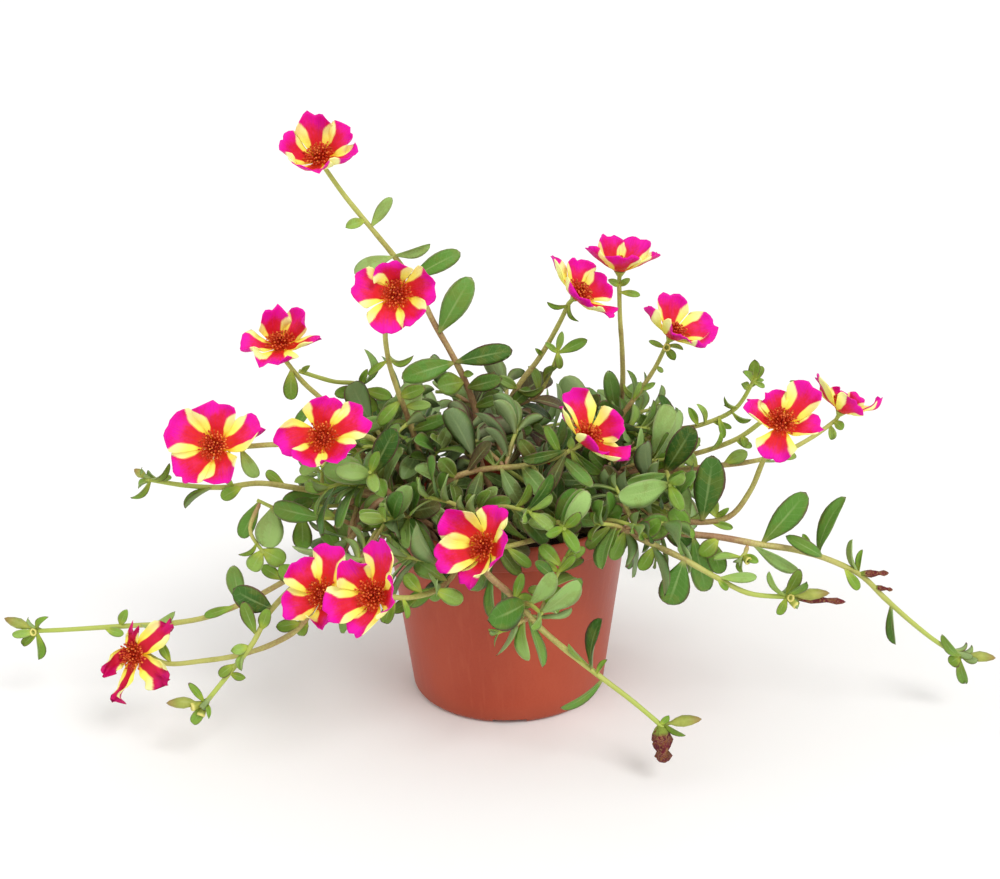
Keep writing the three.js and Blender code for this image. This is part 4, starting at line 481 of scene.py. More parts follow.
# place: the bloom's eye on the drawing. facing: how far it looks right, up and to the viewer.
# petals: each tip's u and v, 1 for a petal that leans to the viewer or -1 for one that leans
# away (or a part of that), its width, and its length where it isn't the reach.
BLOOMS = [
  dict(place=[321, 159, -14], facing=[-0.2, 0.55, 0.8], petals=[
    [314, 111, 0.3, 15], [351, 131, 0.3, 17], [359, 158, 0.8, 15], [317, 181, 1, 17],
    [281, 141, 0.5, 15]]),
  dict(place=[397, 296, -34], facing=[-0.05, 0.25, 1], petals=[
    [388, 262, 0.6, 17, 20], [438, 289, 0.5, 17], [353, 285, 0.5, 16], [389, 337, 0.5, 16],
    [420, 327, 0.6, 14]]),
  dict(place=[281, 346, -24], facing=[0, 0.75, 0.65], petals=[
    [271, 306, 0.4, 14, 21], [303, 311, 0.2, 17, 21], [323, 340, 0.4, 17, 21], [243, 345, 0.4, 14],
    [280, 367, 1, 18, 20]]),
  dict(place=[216, 447, -48], facing=[-0.15, 0.2, 1], petals=[
    [217, 402, 0.3, 22, 24], [262, 424, 0.4, 15], [167, 425, 0.4, 20, 25], [184, 478, 0.4, 19, 24],
    [230, 483, 0.6, 17, 22]]),
  dict(place=[323, 438, -58], facing=[0, 0.25, 1], petals=[
    [330, 396, 0.4, 16, 22], [366, 413, 0.4, 19], [279, 447, 0.4, 15, 22], [303, 463, 0.8, 15, 20],
    [345, 460, 0.8, 18, 20]]),
  dict(place=[486, 547, -80], facing=[-0.6, 0.2, 0.8], petals=[
    [442, 514, 0.4, 18, 24], [434, 560, 0.5, 15, 25], [464, 582, 0.7, 12, 21], [503, 547, 1, 18, 18],
    [501, 507, 0.2, 15, 21]]),
  dict(place=[323, 594, -76], facing=[-0.1, 0.1, 1], petals=[
    [295, 560, 0.4, 17, 22], [330, 544, 0.3, 19, 24], [283, 606, 0.4, 14, 21], [334, 621, 0.9, 14, 20],
    [356, 585, 0.3, 14, 20]]),
  dict(place=[374, 595, -102], facing=[-0.35, 0.1, 0.95], petals=[
    [378, 540, 0.3, 18, 25], [347, 560, 0.5, 15, 22], [327, 613, 0.3, 19, 25], [353, 632, 0.5, 12, 21],
    [396, 588, 1, 17, 20]]),
  dict(place=[136, 654, -56], facing=[-0.35, -0.05, 0.93], petals=[
    [172, 625, 0.2, 12, 23], [137, 627, 0.5, 7, 20], [106, 673, 0.5, 9, 20], [121, 701, 0.3, 7],
    [174, 679, 0.5, 15, 23]]),
  dict(place=[577, 295, 0], facing=[0.6, 0.55, 0.58], petals=[
    [548, 257, 0.3, 15, 23], [579, 256, -0.3, 17, 22], [611, 280, -0.3, 15, 20],
    [578, 301, 1, 17, 19], [614, 317, 0.6, 15, 22]]),
  dict(place=[620, 269, 14], facing=[0.05, 0.92, 0.3], petals=[
    [609, 230, -0.6, 17, 21], [643, 234, -0.6, 18, 22], [620, 261, 1, 17, 18], [587, 248, 0.7, 12, 20],
    [659, 254, 0.7, 12, 21]]),
  dict(place=[672, 335, -4], facing=[0.4, 0.75, 0.5], petals=[
    [673, 290, -0.4, 16, 22], [645, 307, 0.3, 14, 20], [718, 325, -0.5, 15, 23], [678, 341, 1, 15, 18],
    [706, 347, 0.7, 15, 21]]),
  dict(place=[586, 438, -50], facing=[0.45, 0.55, 0.7], petals=[
    [569, 389, 0.1, 14], [562, 410, -0.5, 13, 18], [626, 425, 0.2, 17, 20], [598, 452, 1, 17, 17],
    [629, 458, 0.5, 12, 22]]),
  dict(place=[781, 424, -50], facing=[0, 0.5, 0.85], petals=[
    [748, 400, 0.3, 14, 22], [771, 391, -0.1, 15, 17], [816, 385, 0.2, 19, 24], [767, 461, 0.5, 15, 21],
    [820, 424, 0.5, 13, 20]]),
  dict(place=[842, 409, -20], facing=[0.35, 0.8, 0.45], petals=[
    [845, 389, -0.4, 15, 14], [864, 395, -0.4, 14, 15], [881, 398, 0.3, 8, 20], [853, 408, 1, 14, 13],
    [819, 375, -0.2, 16, 21]]),
]

# root: x and y where the stem enters the soil. route: the stem's way, on the drawing, or
# course, in mm. thick: its radius at the soil and at the tip. bloom: the bloom on its tip.
# twigs: side stems, each starting at the stem's nearest point. leaves: root and tip on the
# drawing, how much nearer the viewer the tip lies (mm), the width as drawn, and the bow. buds
# and spent flowers: as leaves, without a bow. rosettes: a place on the drawing, a count and a
# length. shoots: how many leafy side shoots the stem has inside the bush.
STEMS = [
  dict(name="stem_1", root=[-4, 12], thick=[2.1, 1.2], bloom=0, shoots=1,
    route=[[478, 455, 8], [475, 406, 4], [457, 366, 2], [443, 337, 0], [428, 313, -1],
      [411, 277, -2], [393, 255, -4], [367, 223, -8]],
    leaves=[[370, 223, 391, 198, 4, 15, 0], [362, 220, 346, 227, 5, 11, 0.1],
      [394, 254, 430, 245, 6, 10, 0.05], [391, 256, 354, 273, 3, 16, 0.25],
      [414, 281, 460, 252, -2, 20, 0.06], [438, 328, 471, 278, 3, 27, 0.08],
      [456, 364, 512, 350, 6, 26, 0.12], [455, 362, 402, 378, 10, 26, 0.15],
      [460, 374, 473, 374, 4, 9, 0], [465, 384, 438, 386, 8, 25, 0],
      [466, 388, 501, 379, 8, 18, 0.1], [476, 430, 460, 402, 6, 17, 0.05],
      [478, 442, 505, 428, 6, 17, 0.05], [473, 405, 500, 398, 5, 15, 0.05]]),
  dict(name="stem_2", root=[-24, 2], thick=[1.9, 1.2], bloom=1, shoots=1,
    route=[[425, 470, -8], [414, 433, -12], [400, 397, -18], [388, 357, -25], [386, 325, -28]],
    leaves=[[385, 364, 368, 375, 3, 8, 0.3], [389, 357, 413, 357, 4, 5, 0.3],
      [396, 397, 424, 388, 6, 15, 0.1], [397, 402, 378, 425, 4, 18, 0.1],
      [412, 428, 446, 418, 6, 16, 0.05], [404, 408, 430, 405, 5, 13, 0.05],
      [420, 452, 403, 478, 8, 20, 0.05]]),
  dict(name="stem_3", root=[-34, 12], thick=[1.9, 1.2], bloom=2, shoots=1,
    route=[[372, 465, 0], [345, 425, -10], [320, 397, -15], [304, 383, -18], [291, 369, -20]],
    leaves=[[290, 370, 291, 400, 4, 17, 0], [318, 398, 296, 427, -4, 13, 0],
      [350, 432, 385, 420, 6, 18, 0.05], [362, 452, 345, 475, 6, 16, 0.05]]),
  dict(name="stem_4", root=[-42, -14], thick=[1.9, 1.2], bloom=3, shoots=1,
    route=[[392, 495, -25], [375, 483, -28], [349, 463, -32], [320, 450, -36], [290, 445, -38],
      [264, 444, -40]],
    leaves=[[242, 452, 257, 478, 2, 14, 0.1], [228, 455, 209, 478, 2, 5, 0.1],
      [330, 455, 300, 474, 2, 16, 0.1], [388, 492, 366, 512, 6, 20, 0.05],
      [392, 495, 424, 487, 8, 20, 0.05]]),
  dict(name="stem_5", root=[-28, -8], thick=[1.8, 1.2], bloom=4, shoots=1,
    route=[[402, 475, -16], [388, 454, -20], [369, 437, -30], [345, 437, -44]],
    leaves=[[380, 446, 358, 442, 3, 7, 0.1], [390, 456, 375, 478, 4, 16, 0.05],
      [400, 472, 420, 478, 6, 18, 0.05], [396, 465, 420, 450, 6, 18, 0.05]]),
  dict(name="stem_6", root=[18, -28], thick=[1.8, 1.2], bloom=5, shoots=1,
    route=[[560, 505, -38], [557, 519, -48], [549, 533, -58], [528, 541, -66], [508, 547, -72]],
    leaves=[[510, 548, 531, 567, 2, 14, 0], [547, 533, 513, 514, -6, 22, 0.05],
      [556, 518, 557, 474, 2, 15, 0.05], [557, 518, 574, 502, 5, 14, 0],
      [553, 530, 586, 512, 4, 20, 0.05], [558, 512, 600, 522, 8, 19, 0.05],
      [550, 533, 566, 556, 8, 15, 0.05], [558, 508, 540, 486, 5, 18, 0.05],
      [558, 515, 530, 500, 6, 18, 0.05], [552, 530, 576, 545, 6, 16, 0.05],
      [540, 537, 548, 575, 6, 18, 0.05]]),
  dict(name="stem_7", root=[-24, -34], thick=[1.7, 1.2], bloom=6, shoots=1,
    route=[[412, 512, -44], [395, 520, -50], [375, 548, -58], [350, 578, -64]],
    leaves=[[345, 590, 345, 634, -4, 14, 0], [405, 515, 426, 546, 6, 22, 0.05],
      [395, 522, 366, 522, 5, 20, 0.05], [388, 532, 412, 566, 6, 18, 0.05],
      [404, 514, 440, 505, 6, 20, 0.05], [398, 520, 392, 556, 5, 20, 0.05],
      [404, 515, 432, 562, 12, 20, 0.08], [390, 528, 418, 590, 10, 20, 0.05]]),
  dict(name="stem_8", root=[-6, -38], thick=[1.7, 1.2], bloom=7, shoots=1,
    route=[[482, 505, -50], [470, 540, -66], [455, 575, -74], [446, 584, -78], [430, 589, -84],
      [414, 597, -90], [397, 597, -96]],
    leaves=[[432, 590, 463, 601, 4, 22, 0.05], [399, 600, 408, 619, 3, 6, 0],
      [394, 602, 384, 624, 2, 12, 0], [420, 594, 405, 574, -3, 14, 0.05],
      [478, 515, 448, 527, 5, 20, 0.05], [470, 540, 436, 552, 6, 20, 0.05],
      [480, 510, 510, 500, 6, 18, 0.05], [446, 584, 415, 560, -8, 22, 0.05],
      [422, 593, 392, 612, 4, 12, 0], [462, 560, 436, 566, -4, 18, 0.05]]),
  dict(name="stem_9", root=[-46, -3], thick=[1.9, 1.2], bloom=8, shoots=1,
    route=[[385, 498, -14], [366, 505, -22], [340, 560, -40], [318, 600, -50], [301, 625, -54],
      [287, 637, -54], [249, 653, -52], [216, 658, -52], [191, 663, -53], [168, 664, -54]],
    leaves=[[300, 627, 276, 627, 4, 16, 0.1], [306, 618, 298, 636, 4, 14, 0],
      [290, 634, 308, 622, -4, 12, 0], [170, 661, 161, 642, 2, 10, 0]]),
  dict(name="stem_10", root=[8, 10], thick=[2.0, 1.2], bloom=9, shoots=1,
    route=[[502, 450, 14], [496, 433, 14], [506, 408, 12], [519, 385, 10], [540, 357, 8],
      [555, 332, 6], [566, 306, 4]],
    twigs=[[[506, 408], [530, 402, 12], [545, 385, 8], [553, 365, 4], [559, 350, 2]]],
    leaves=[[561, 350, 587, 340, 4, 13, 0], [559, 352, 560, 369, 3, 9, 0],
      [558, 348, 562, 332, 2, 8, 0], [557, 350, 546, 343, 4, 7, 0], [541, 356, 536, 349, 2, 5, 0],
      [547, 380, 557, 366, 4, 6, 0.1], [519, 385, 543, 388, 4, 6, 0.2],
      [516, 388, 497, 377, 6, 12, 0.1], [566, 305, 547, 303, 2, 4, 0.1],
      [570, 304, 577, 322, 3, 4, 0.2], [508, 405, 530, 388, 4, 16, 0.1],
      [500, 440, 532, 428, 6, 17, 0.05], [500, 448, 470, 432, 6, 15, 0.05]]),
  dict(name="stem_11", root=[24, 20], thick=[1.9, 1.2], bloom=10, shoots=1,
    route=[[608, 450, 22], [618, 415, 22], [623, 377, 20], [620, 317, 16]],
    leaves=[[620, 291, 640, 295, 3, 8, 0.05], [617, 286, 609, 280, 3, 8, 0],
      [621, 286, 629, 279, 3, 8, 0], [618, 418, 609, 372, 6, 19, 0], [622, 380, 640, 400, 4, 6, 0.2],
      [612, 440, 640, 428, 6, 16, 0.05]]),
  dict(name="stem_12", root=[34, 6], thick=[1.8, 1.1], bloom=11, shoots=1,
    route=[[605, 440, 6], [624, 414, 6], [639, 392, 4], [655, 368, 2], [665, 352, 0]],
    leaves=[[666, 348, 650, 341, 2, 7, 0], [668, 350, 675, 360, 4, 10, 0],
      [670, 347, 683, 349, 2, 5, 0], [657, 364, 663, 372, 2, 7, 0], [643, 388, 655, 383, 2, 6, 0],
      [636, 398, 641, 382, 3, 7, 0.1], [630, 404, 628, 370, 3, 4, 0.15],
      [634, 398, 645, 372, -3, 5, 0.2]]),
  dict(name="stem_13", root=[-10, -14], thick=[1.9, 1.3], bloom=12, shoots=1,
    route=[[440, 500, -24], [452, 480, -32], [468, 472, -35], [496, 468, -38], [529, 465, -42],
      [554, 458, -45], [570, 452, -47]],
    leaves=[[457, 479, 430, 514, 4, 16, 0], [467, 472, 490, 442, 5, 12, 0],
      [480, 472, 510, 487, -3, 13, 0], [457, 480, 440, 459, 3, 18, 0],
      [566, 453, 522, 460, 3, 14, 0.05], [563, 454, 545, 425, 2, 14, 0.05],
      [568, 454, 548, 492, 4, 14, 0.05], [576, 452, 571, 437, 2, 9, 0],
      [578, 456, 600, 475, 3, 11, 0], [574, 456, 586, 474, 5, 8, 0],
      [498, 468, 478, 441, -3, 12, 0.05], [500, 468, 521, 505, 10, 19, 0.08],
      [520, 466, 548, 498, 12, 19, 0.08], [484, 471, 470, 507, 10, 19, 0.08],
      [562, 455, 592, 486, 8, 18, 0.05], [450, 484, 416, 498, 8, 19, 0.05],
      [535, 464, 520, 440, 5, 18, 0.05], [480, 473, 500, 452, 6, 16, 0.05]]),
  dict(name="stem_14", root=[40, -14], thick=[2.0, 1.2], bloom=13, shoots=1,
    route=[[612, 492, -24], [640, 505, -32], [665, 518, -38], [691, 522, -40], [713, 522, -42],
      [734, 514, -44], [743, 502, -45], [754, 484, -46], [763, 461, -48]],
    leaves=[[713, 522, 733, 528, 3, 8, 0], [703, 521, 713, 457, 6, 33, 0.04],
      [714, 520, 708, 498, -4, 16, 0], [690, 521, 677, 481, -3, 25, 0.04],
      [718, 520, 728, 509, 4, 7, 0], [668, 518, 640, 500, 5, 24, 0.05],
      [660, 514, 690, 545, 5, 24, 0.05], [640, 505, 676, 488, 5, 23, 0.05],
      [618, 494, 606, 466, 5, 18, 0.05]]),
  dict(name="stem_15", root=[26, -4], thick=[1.9, 1.1], bloom=14, shoots=1,
    route=[[600, 474, -14], [650, 473, -18], [695, 468, -20], [730, 464, -22], [759, 461, -24],
      [778, 455, -24], [794, 446, -24], [827, 430, -22]],
    leaves=[[727, 464, 747, 452, 3, 16, 0], [757, 461, 788, 461, 2, 3, 0],
      [834, 424, 843, 429, 3, 10, 0], [832, 427, 832, 440, 2, 8, 0], [790, 447, 785, 458, 3, 14, 0],
      [695, 468, 680, 450, 4, 14, 0.05], [650, 473, 668, 455, 4, 18, 0.05],
      [648, 473, 625, 487, 4, 18, 0.05], [612, 474, 590, 452, 5, 18, 0.05],
      [625, 473, 640, 500, 6, 18, 0.05], [672, 470, 690, 492, 6, 21, 0.05]]),
  dict(name="trail_left_mid", root=[-46, 8], thick=[2.0, 1.2], shoots=1,
    route=[[386, 488, -5], [356, 495, -10], [337, 494, -12], [311, 492, -14], [285, 485, -16],
      [261, 483, -18], [233, 487, -20], [208, 487, -22], [182, 485, -24], [157, 482, -25],
      [146, 479, -26]],
    twigs=[[[352, 496], [337, 514, -24], [302, 516, -28], [276, 509, -28], [257, 500, -28]],
      [[262, 502], [250, 530, -34], [264, 553, -36]], [[318, 493], [322, 480, -16], [322, 470, -18]]],
    leaves=[[152, 480, 170, 465, 2, 5, 0.2], [157, 481, 172, 477, 3, 7, 0.1],
      [145, 482, 133, 500, 4, 5, 0.1], [210, 488, 184, 507, 6, 4, 0.05],
      [240, 488, 221, 498, 4, 13, 0], [287, 486, 266, 471, -4, 12, 0.1],
      [330, 495, 282, 503, 4, 24, 0.05], [262, 503, 241, 538, 4, 20, 0.05],
      [272, 508, 268, 548, 6, 30, 0.05], [303, 516, 303, 550, 4, 23, 0],
      [318, 516, 336, 546, 4, 22, 0], [338, 512, 350, 542, 4, 14, 0], [262, 551, 251, 571, 3, 18, 0],
      [264, 552, 285, 562, 4, 20, 0], [255, 540, 240, 556, 2, 5, 0.2],
      [290, 512, 312, 500, 6, 16, 0.05], [233, 487, 222, 474, 3, 7, 0],
      [372, 492, 392, 520, 6, 20, 0.05]],
    buds=[[147, 480, 134, 469, 2, 9]],
    rosettes=[[322, 470, 5, 11], [146, 479, 3, 7]]),
  dict(name="trail_left_long", root=[-36, 24], thick=[2.0, 1.2], shoots=1,
    route=[[384, 468, 13], [364, 482, 6], [340, 522, 0], [308, 562, -10], [280, 584, -18],
      [260, 594, -20], [232, 608, -22], [207, 617, -22], [174, 623, -22], [124, 626, -22],
      [60, 630, -22], [34, 631, -22]],
    leaves=[[36, 629, 46, 617, 2, 6, 0.1], [34, 633, 40, 660, 3, 5, 0], [32, 633, 22, 645, 2, 9, 0],
      [30, 628, 12, 635, 4, 9, 0], [121, 625, 126, 611, 3, 10, 0], [104, 627, 123, 634, 4, 12, 0],
      [142, 624, 175, 612, 0, 11, 0.4], [236, 606, 204, 616, 4, 11, 0],
      [238, 604, 233, 567, 2, 19, 0], [173, 622, 169, 603, 3, 12, 0],
      [283, 582, 262, 566, 4, 18, 0.05]],
    buds=[[31, 629, 4, 618, 2, 11]],
    rosettes=[[34, 631, 4, 7]]),
  dict(name="trail_low_left", root=[-34, -22], thick=[1.9, 1.2], shoots=1,
    route=[[392, 503, -30], [372, 508, -36], [345, 548, -42], [305, 577, -48], [280, 600, -56],
      [260, 625, -64], [255, 636, -68], [248, 652, -72], [232, 669, -74], [216, 693, -76],
      [203, 706, -78]],
    leaves=[[197, 703, 190, 684, 2, 8, 0], [200, 710, 192, 724, 3, 12, 0],
      [205, 706, 209, 718, 3, 5, 0], [236, 664, 219, 676, 3, 13, 0.05],
      [230, 672, 245, 678, 3, 10, 0], [270, 611, 234, 590, 6, 24, 0.1],
      [256, 634, 243, 603, 2, 15, 0], [258, 630, 268, 610, 4, 14, 0],
      [249, 650, 231, 651, 4, 12, 0.05], [244, 656, 240, 670, 3, 5, 0],
      [300, 581, 280, 566, 5, 20, 0.05], [385, 505, 360, 530, 5, 18, 0.05]],
    buds=[[199, 706, 166, 703, 2, 12]],
    rosettes=[[203, 706, 4, 7]]),
  dict(name="spray_high_left", root=[-20, 22], thick=[1.7, 1.1], shoots=1,
    route=[[388, 455, 14], [372, 420, 8], [362, 385, 2], [345, 382, -3], [326, 381, -7],
      [307, 380, -10], [299, 371, -11]],
    leaves=[[362, 388, 335, 394, 4, 16, 0.05], [363, 390, 375, 412, 4, 18, 0],
      [364, 388, 391, 397, 3, 16, 0], [358, 382, 367, 350, 0, 4, 0.25],
      [300, 374, 309, 366, 2, 6, 0], [365, 396, 345, 414, 4, 16, 0.05],
      [362, 383, 366, 371, 3, 8, 0], [375, 430, 402, 420, 6, 18, 0.05]]),
  dict(name="trail_front", root=[6, -42], thick=[2.0, 1.2], shoots=1,
    route=[[508, 522, -50], [497, 535, -63], [484, 562, -74], [490, 578, -78], [514, 598, -80],
      [531, 619, -82], [551, 637, -84], [578, 660, -86], [602, 678, -88], [631, 700, -92],
      [663, 727, -96]],
    twigs=[[[531, 616], [520, 622, -88], [506, 629, -91], [497, 633, -93]],
      [[538, 622], [545, 600, -80], [556, 578, -78], [566, 557, -77]]],
    leaves=[[488, 578, 495, 621, 6, 9, 0.05], [512, 597, 522, 574, 4, 12, 0],
      [516, 600, 534, 602, 5, 18, 0], [528, 617, 544, 667, 6, 10, 0], [546, 612, 582, 580, 4, 16, 0],
      [590, 669, 600, 619, 6, 8, 0.05], [601, 678, 562, 710, 8, 11, 0.05],
      [585, 664, 568, 645, 2, 6, 0], [597, 674, 605, 660, 3, 5, 0], [552, 590, 547, 604, 3, 9, 0],
      [500, 632, 514, 626, 3, 7, 0], [665, 727, 669, 716, 2, 9, 0], [664, 730, 685, 737, 3, 7, 0],
      [560, 570, 575, 556, 3, 12, 0], [558, 572, 543, 562, 3, 12, 0],
      [506, 525, 538, 516, 6, 20, 0.05], [497, 536, 530, 556, 6, 18, 0.05],
      [503, 527, 474, 515, 6, 18, 0.05], [492, 545, 520, 575, 6, 16, 0.05],
      [494, 548, 530, 564, 4, 18, 0.05], [556, 578, 536, 562, 3, 14, 0],
      [550, 588, 528, 590, 3, 12, 0], [560, 568, 540, 545, 2, 16, 0.05],
      [562, 562, 585, 548, 3, 12, 0]],
    buds=[[664, 728, 702, 719, 2, 12]],
    spent=[[664, 727, 664, 763, 4, 20], [664, 728, 655, 742, 2, 8]],
    rosettes=[[497, 633, 5, 6]]),
  dict(name="spray_right_back", root=[42, 6], thick=[1.8, 1.1], shoots=1,
    route=[[625, 472, 6], [650, 463, 4], [676, 458, 2], [708, 450, -2], [733, 441, -6],
      [756, 426, -10], [780, 407, -14], [795, 396, -16]],
    leaves=[[735, 441, 752, 447, 3, 8, 0], [797, 394, 805, 383, 2, 10, 0],
      [796, 396, 791, 381, 2, 3, 0.2], [676, 458, 700, 438, 4, 14, 0.1],
      [708, 450, 722, 432, 3, 6, 0.15], [650, 463, 660, 440, 4, 16, 0.05],
      [740, 437, 745, 446, 3, 10, 0], [668, 460, 652, 480, 5, 18, 0.05]]),
  dict(name="spray_right_top", root=[38, 18], thick=[1.9, 1.1], shoots=1,
    route=[[640, 441, 18], [676, 431, 14], [695, 426, 12], [715, 421, 10], [734, 410, 8],
      [746, 393, 6], [755, 378, 4]],
    leaves=[[750, 387, 742, 384, 2, 10, 0], [754, 386, 765, 387, 2, 6, 0],
      [753, 380, 755, 360, 2, 13, 0], [750, 382, 746, 372, 3, 8, 0], [757, 380, 763, 366, 3, 8, 0],
      [737, 406, 724, 397, 0, 3, 0.25], [731, 412, 724, 405, 2, 3, 0],
      [735, 411, 751, 420, 3, 5, 0.2], [715, 421, 732, 428, 2, 7, 0], [720, 420, 724, 438, 3, 8, 0],
      [697, 425, 689, 408, 2, 8, 0], [704, 424, 698, 404, 2, 6, 0.1],
      [672, 432, 660, 395, 4, 11, 0.05], [676, 431, 652, 414, 3, 16, 0],
      [680, 430, 700, 446, 5, 8, 0.15], [655, 437, 638, 415, 4, 15, 0.05],
      [668, 433, 661, 455, 5, 19, 0.05]],
    rosettes=[[755, 378, 5, 8]]),
  dict(name="trail_right_long", root=[30, -24], thick=[2.1, 1.2], shoots=1,
    route=[[600, 500, -32], [625, 512, -42], [655, 528, -48], [690, 534, -50], [726, 538, -52],
      [757, 544, -52], [786, 548, -51], [819, 556, -50], [859, 574, -48], [891, 604, -46],
      [930, 637, -44], [962, 657, -42]],
    twigs=[[[750, 543], [746, 552, -56], [741, 558, -58]]],
    leaves=[[762, 545, 806, 493, 4, 28, 0.04], [757, 547, 798, 572, 4, 14, 0],
      [818, 555, 786, 536, 3, 17, 0.3], [822, 555, 845, 497, 4, 14, 0.1],
      [812, 553, 803, 534, -3, 8, 0], [842, 567, 859, 590, 4, 12, 0],
      [857, 572, 851, 540, 0, 3, 0.1], [859, 572, 861, 550, -2, 6, 0], [892, 606, 894, 645, 4, 4, 0],
      [960, 655, 942, 636, 3, 9, 0.15], [961, 657, 949, 663, 4, 14, 0],
      [963, 659, 965, 684, 3, 9, 0], [713, 537, 721, 574, 4, 23, 0], [735, 557, 714, 559, 3, 6, 0],
      [692, 535, 706, 592, -2, 27, 0],
      [690, 534, 672, 510, 5, 26, 0.05], [716, 537, 700, 555, 5, 16, 0],
      [745, 556, 758, 562, 4, 9, 0], [612, 505, 646, 497, 6, 21, 0.05],
      [628, 514, 604, 536, 6, 16, 0.05]],
    buds=[[963, 657, 996, 658, 2, 11]],
    spent=[[861, 575, 889, 573, 2, 7], [885, 573, 893, 590, 2, 5]],
    rosettes=[[962, 657, 5, 8], [741, 558, 5, 8]]),
  dict(name="trail_right_low", root=[26, -38], thick=[1.9, 1.2], shoots=1,
    route=[[580, 520, -46], [612, 525, -56], [655, 546, -62], [690, 562, -66], [719, 579, -68],
      [738, 589, -68], [757, 595, -68], [790, 597, -68]],
    leaves=[[682, 558, 668, 605, 6, 35, 0.05],
      [720, 579, 757, 577, 3, 13, 0], [718, 580, 728, 590, 3, 7, 0], [790, 595, 768, 573, 2, 5, 0.1],
      [793, 595, 800, 571, 3, 14, 0], [795, 595, 807, 583, 4, 10, 0], [790, 599, 778, 615, 3, 10, 0],
      [655, 546, 640, 570, 5, 16, 0.05], [640, 540, 660, 520, 6, 18, 0.05],
      [590, 521, 622, 508, 6, 22, 0.05], [612, 526, 586, 548, 6, 15, 0.05],
      [630, 533, 670, 522, 6, 27, 0.05], [600, 522, 578, 500, 6, 18, 0.05],
      [622, 530, 612, 560, 6, 16, 0.05]],
    buds=[[792, 597, 830, 593, 2, 12]],
    spent=[[826, 593, 846, 602, 0, 8]],
    rosettes=[[790, 597, 4, 7]]),
  dict(name="back_left", root=[-18, 34], thick=[2.0, 1.2], shoots=3,
    course=[[-26, 44, 103], [-44, 64, 106], [-64, 88, 90], [-80, 108, 68], [-88, 120, 52]],
    leafy=True),
  dict(name="back_middle", root=[4, 38], thick=[2.0, 1.2], shoots=3,
    course=[[6, 48, 104], [8, 70, 106], [4, 96, 88], [0, 116, 64], [-2, 126, 48]],
    leafy=True),
  dict(name="back_right", root=[24, 36], thick=[2.0, 1.2], shoots=3,
    course=[[34, 48, 104], [52, 66, 104], [74, 84, 88], [92, 102, 66], [100, 112, 52]],
    leafy=True),
]

Step = namedtuple("Step", "place heading across beside radius sides part", defaults=(0,))


def at(u, v, y):
    """The place in mm of a point on the drawing."""
    right = u - MIDDLE[0]
    up = MIDDLE[1] - v
    ray = -LENS * TO_VIEWER
    ray = ray + (math.cos(ROLL) * right + math.sin(ROLL) * up) * DRAWN_RIGHT
    ray = ray + (math.cos(ROLL) * up - math.sin(ROLL) * right) * DRAWN_UP
    return VIEWER + ray * ((y - VIEWER[1]) / ray[1])


def drawn(place):
    """The point on the drawing of a place, or of a row of places."""
    ray = place - VIEWER
    depth = -ray @ TO_VIEWER
    right = ray @ DRAWN_RIGHT / depth * LENS
    up = ray @ DRAWN_UP / depth * LENS
    u = MIDDLE[0] + math.cos(ROLL) * right - math.sin(ROLL) * up
    v = MIDDLE[1] - (math.sin(ROLL) * right + math.cos(ROLL) * up)
    return np.stack([u, v], -1)


def unit(vector):
    return vector / (np.linalg.norm(vector) or 1)


def across_from(axis, wanted):
    return unit(wanted - axis * (axis @ wanted))


def any_across(axis):
    helper = np.array([0.0, 0, 1]) if abs(axis[2]) < 0.9 else np.array([1.0, 0, 0])
    return across_from(axis, helper)


def random_from(seed):
    """A stream of numbers from 0 to 1 that is the same every time for one seed."""
    state = seed
    whole = 0xFFFFFFFF
    while True:
        state = (state + 0x6D2B79F5) & whole
        mixed = ((state ^ (state >> 15)) * (1 | state)) & whole
        mixed = ((mixed + (((mixed ^ (mixed >> 7)) * (61 | mixed)) & whole)) ^ mixed) & whole
        yield (mixed ^ (mixed >> 14)) / 4294967296


def between(random, low, high):
    return low + (high - low) * next(random)


def curve_place(points, way):
    """A point on the smooth curve through these points. The way runs from 0 to 1."""
    last = len(points) - 1
    whole = math.floor(last * way)
    part = last * way - whole
    if part == 0 and whole == last:
        whole, part = last - 1, 1
    after_last = 2 * points[last] - points[last - 1]
    before = points[whole - 1] if whole > 0 else 2 * points[0] - points[1]
    after = points[whole + 2] if whole + 2 <= last else after_last
    if whole == 0 and last == 1:
        before = after_last
    start = points[whole % (last + 1)]
    end = points[(whole + 1) % (last + 1)]
    leave = (end - before) / 2
    arrive = (after - start) / 2
    square = -3 * start + 3 * end - 2 * leave - arrive
    cube = 2 * start - 2 * end + leave + arrive
    return start + leave * part + square * part ** 2 + cube * part ** 3


def path_through(points, start_radius, end_radius, step_length, sides):
    """A stem's way, as even steps along the curve through these points."""
    spans = len(points) - 1
    reached = [0]
    for one, other in zip(points, points[1:]):
        reached.append(reached[-1] + np.linalg.norm(one - other))
    count = max(2, math.floor(reached[spans] / step_length + 0.5))
    places = []
    span = 0
    for index in range(count + 1):
        wanted = reached[spans] * index / count
        while span < spans - 1 and reached[span + 1] < wanted:
            span += 1
        part = (wanted - reached[span]) / (reached[span + 1] - reached[span])
        places.append(curve_place(points, (span + part) / spans))
    path = []
    across = None
    for index, place in enumerate(places):
        heading = unit(places[min(index + 1, count)] - places[max(index - 1, 0)])
        across = any_across(heading) if across is None else across_from(heading, across)
        radius = start_radius + (end_radius - start_radius) * index / count
        path.append(Step(place, heading, across, np.cross(across, heading), radius, sides))
    return path


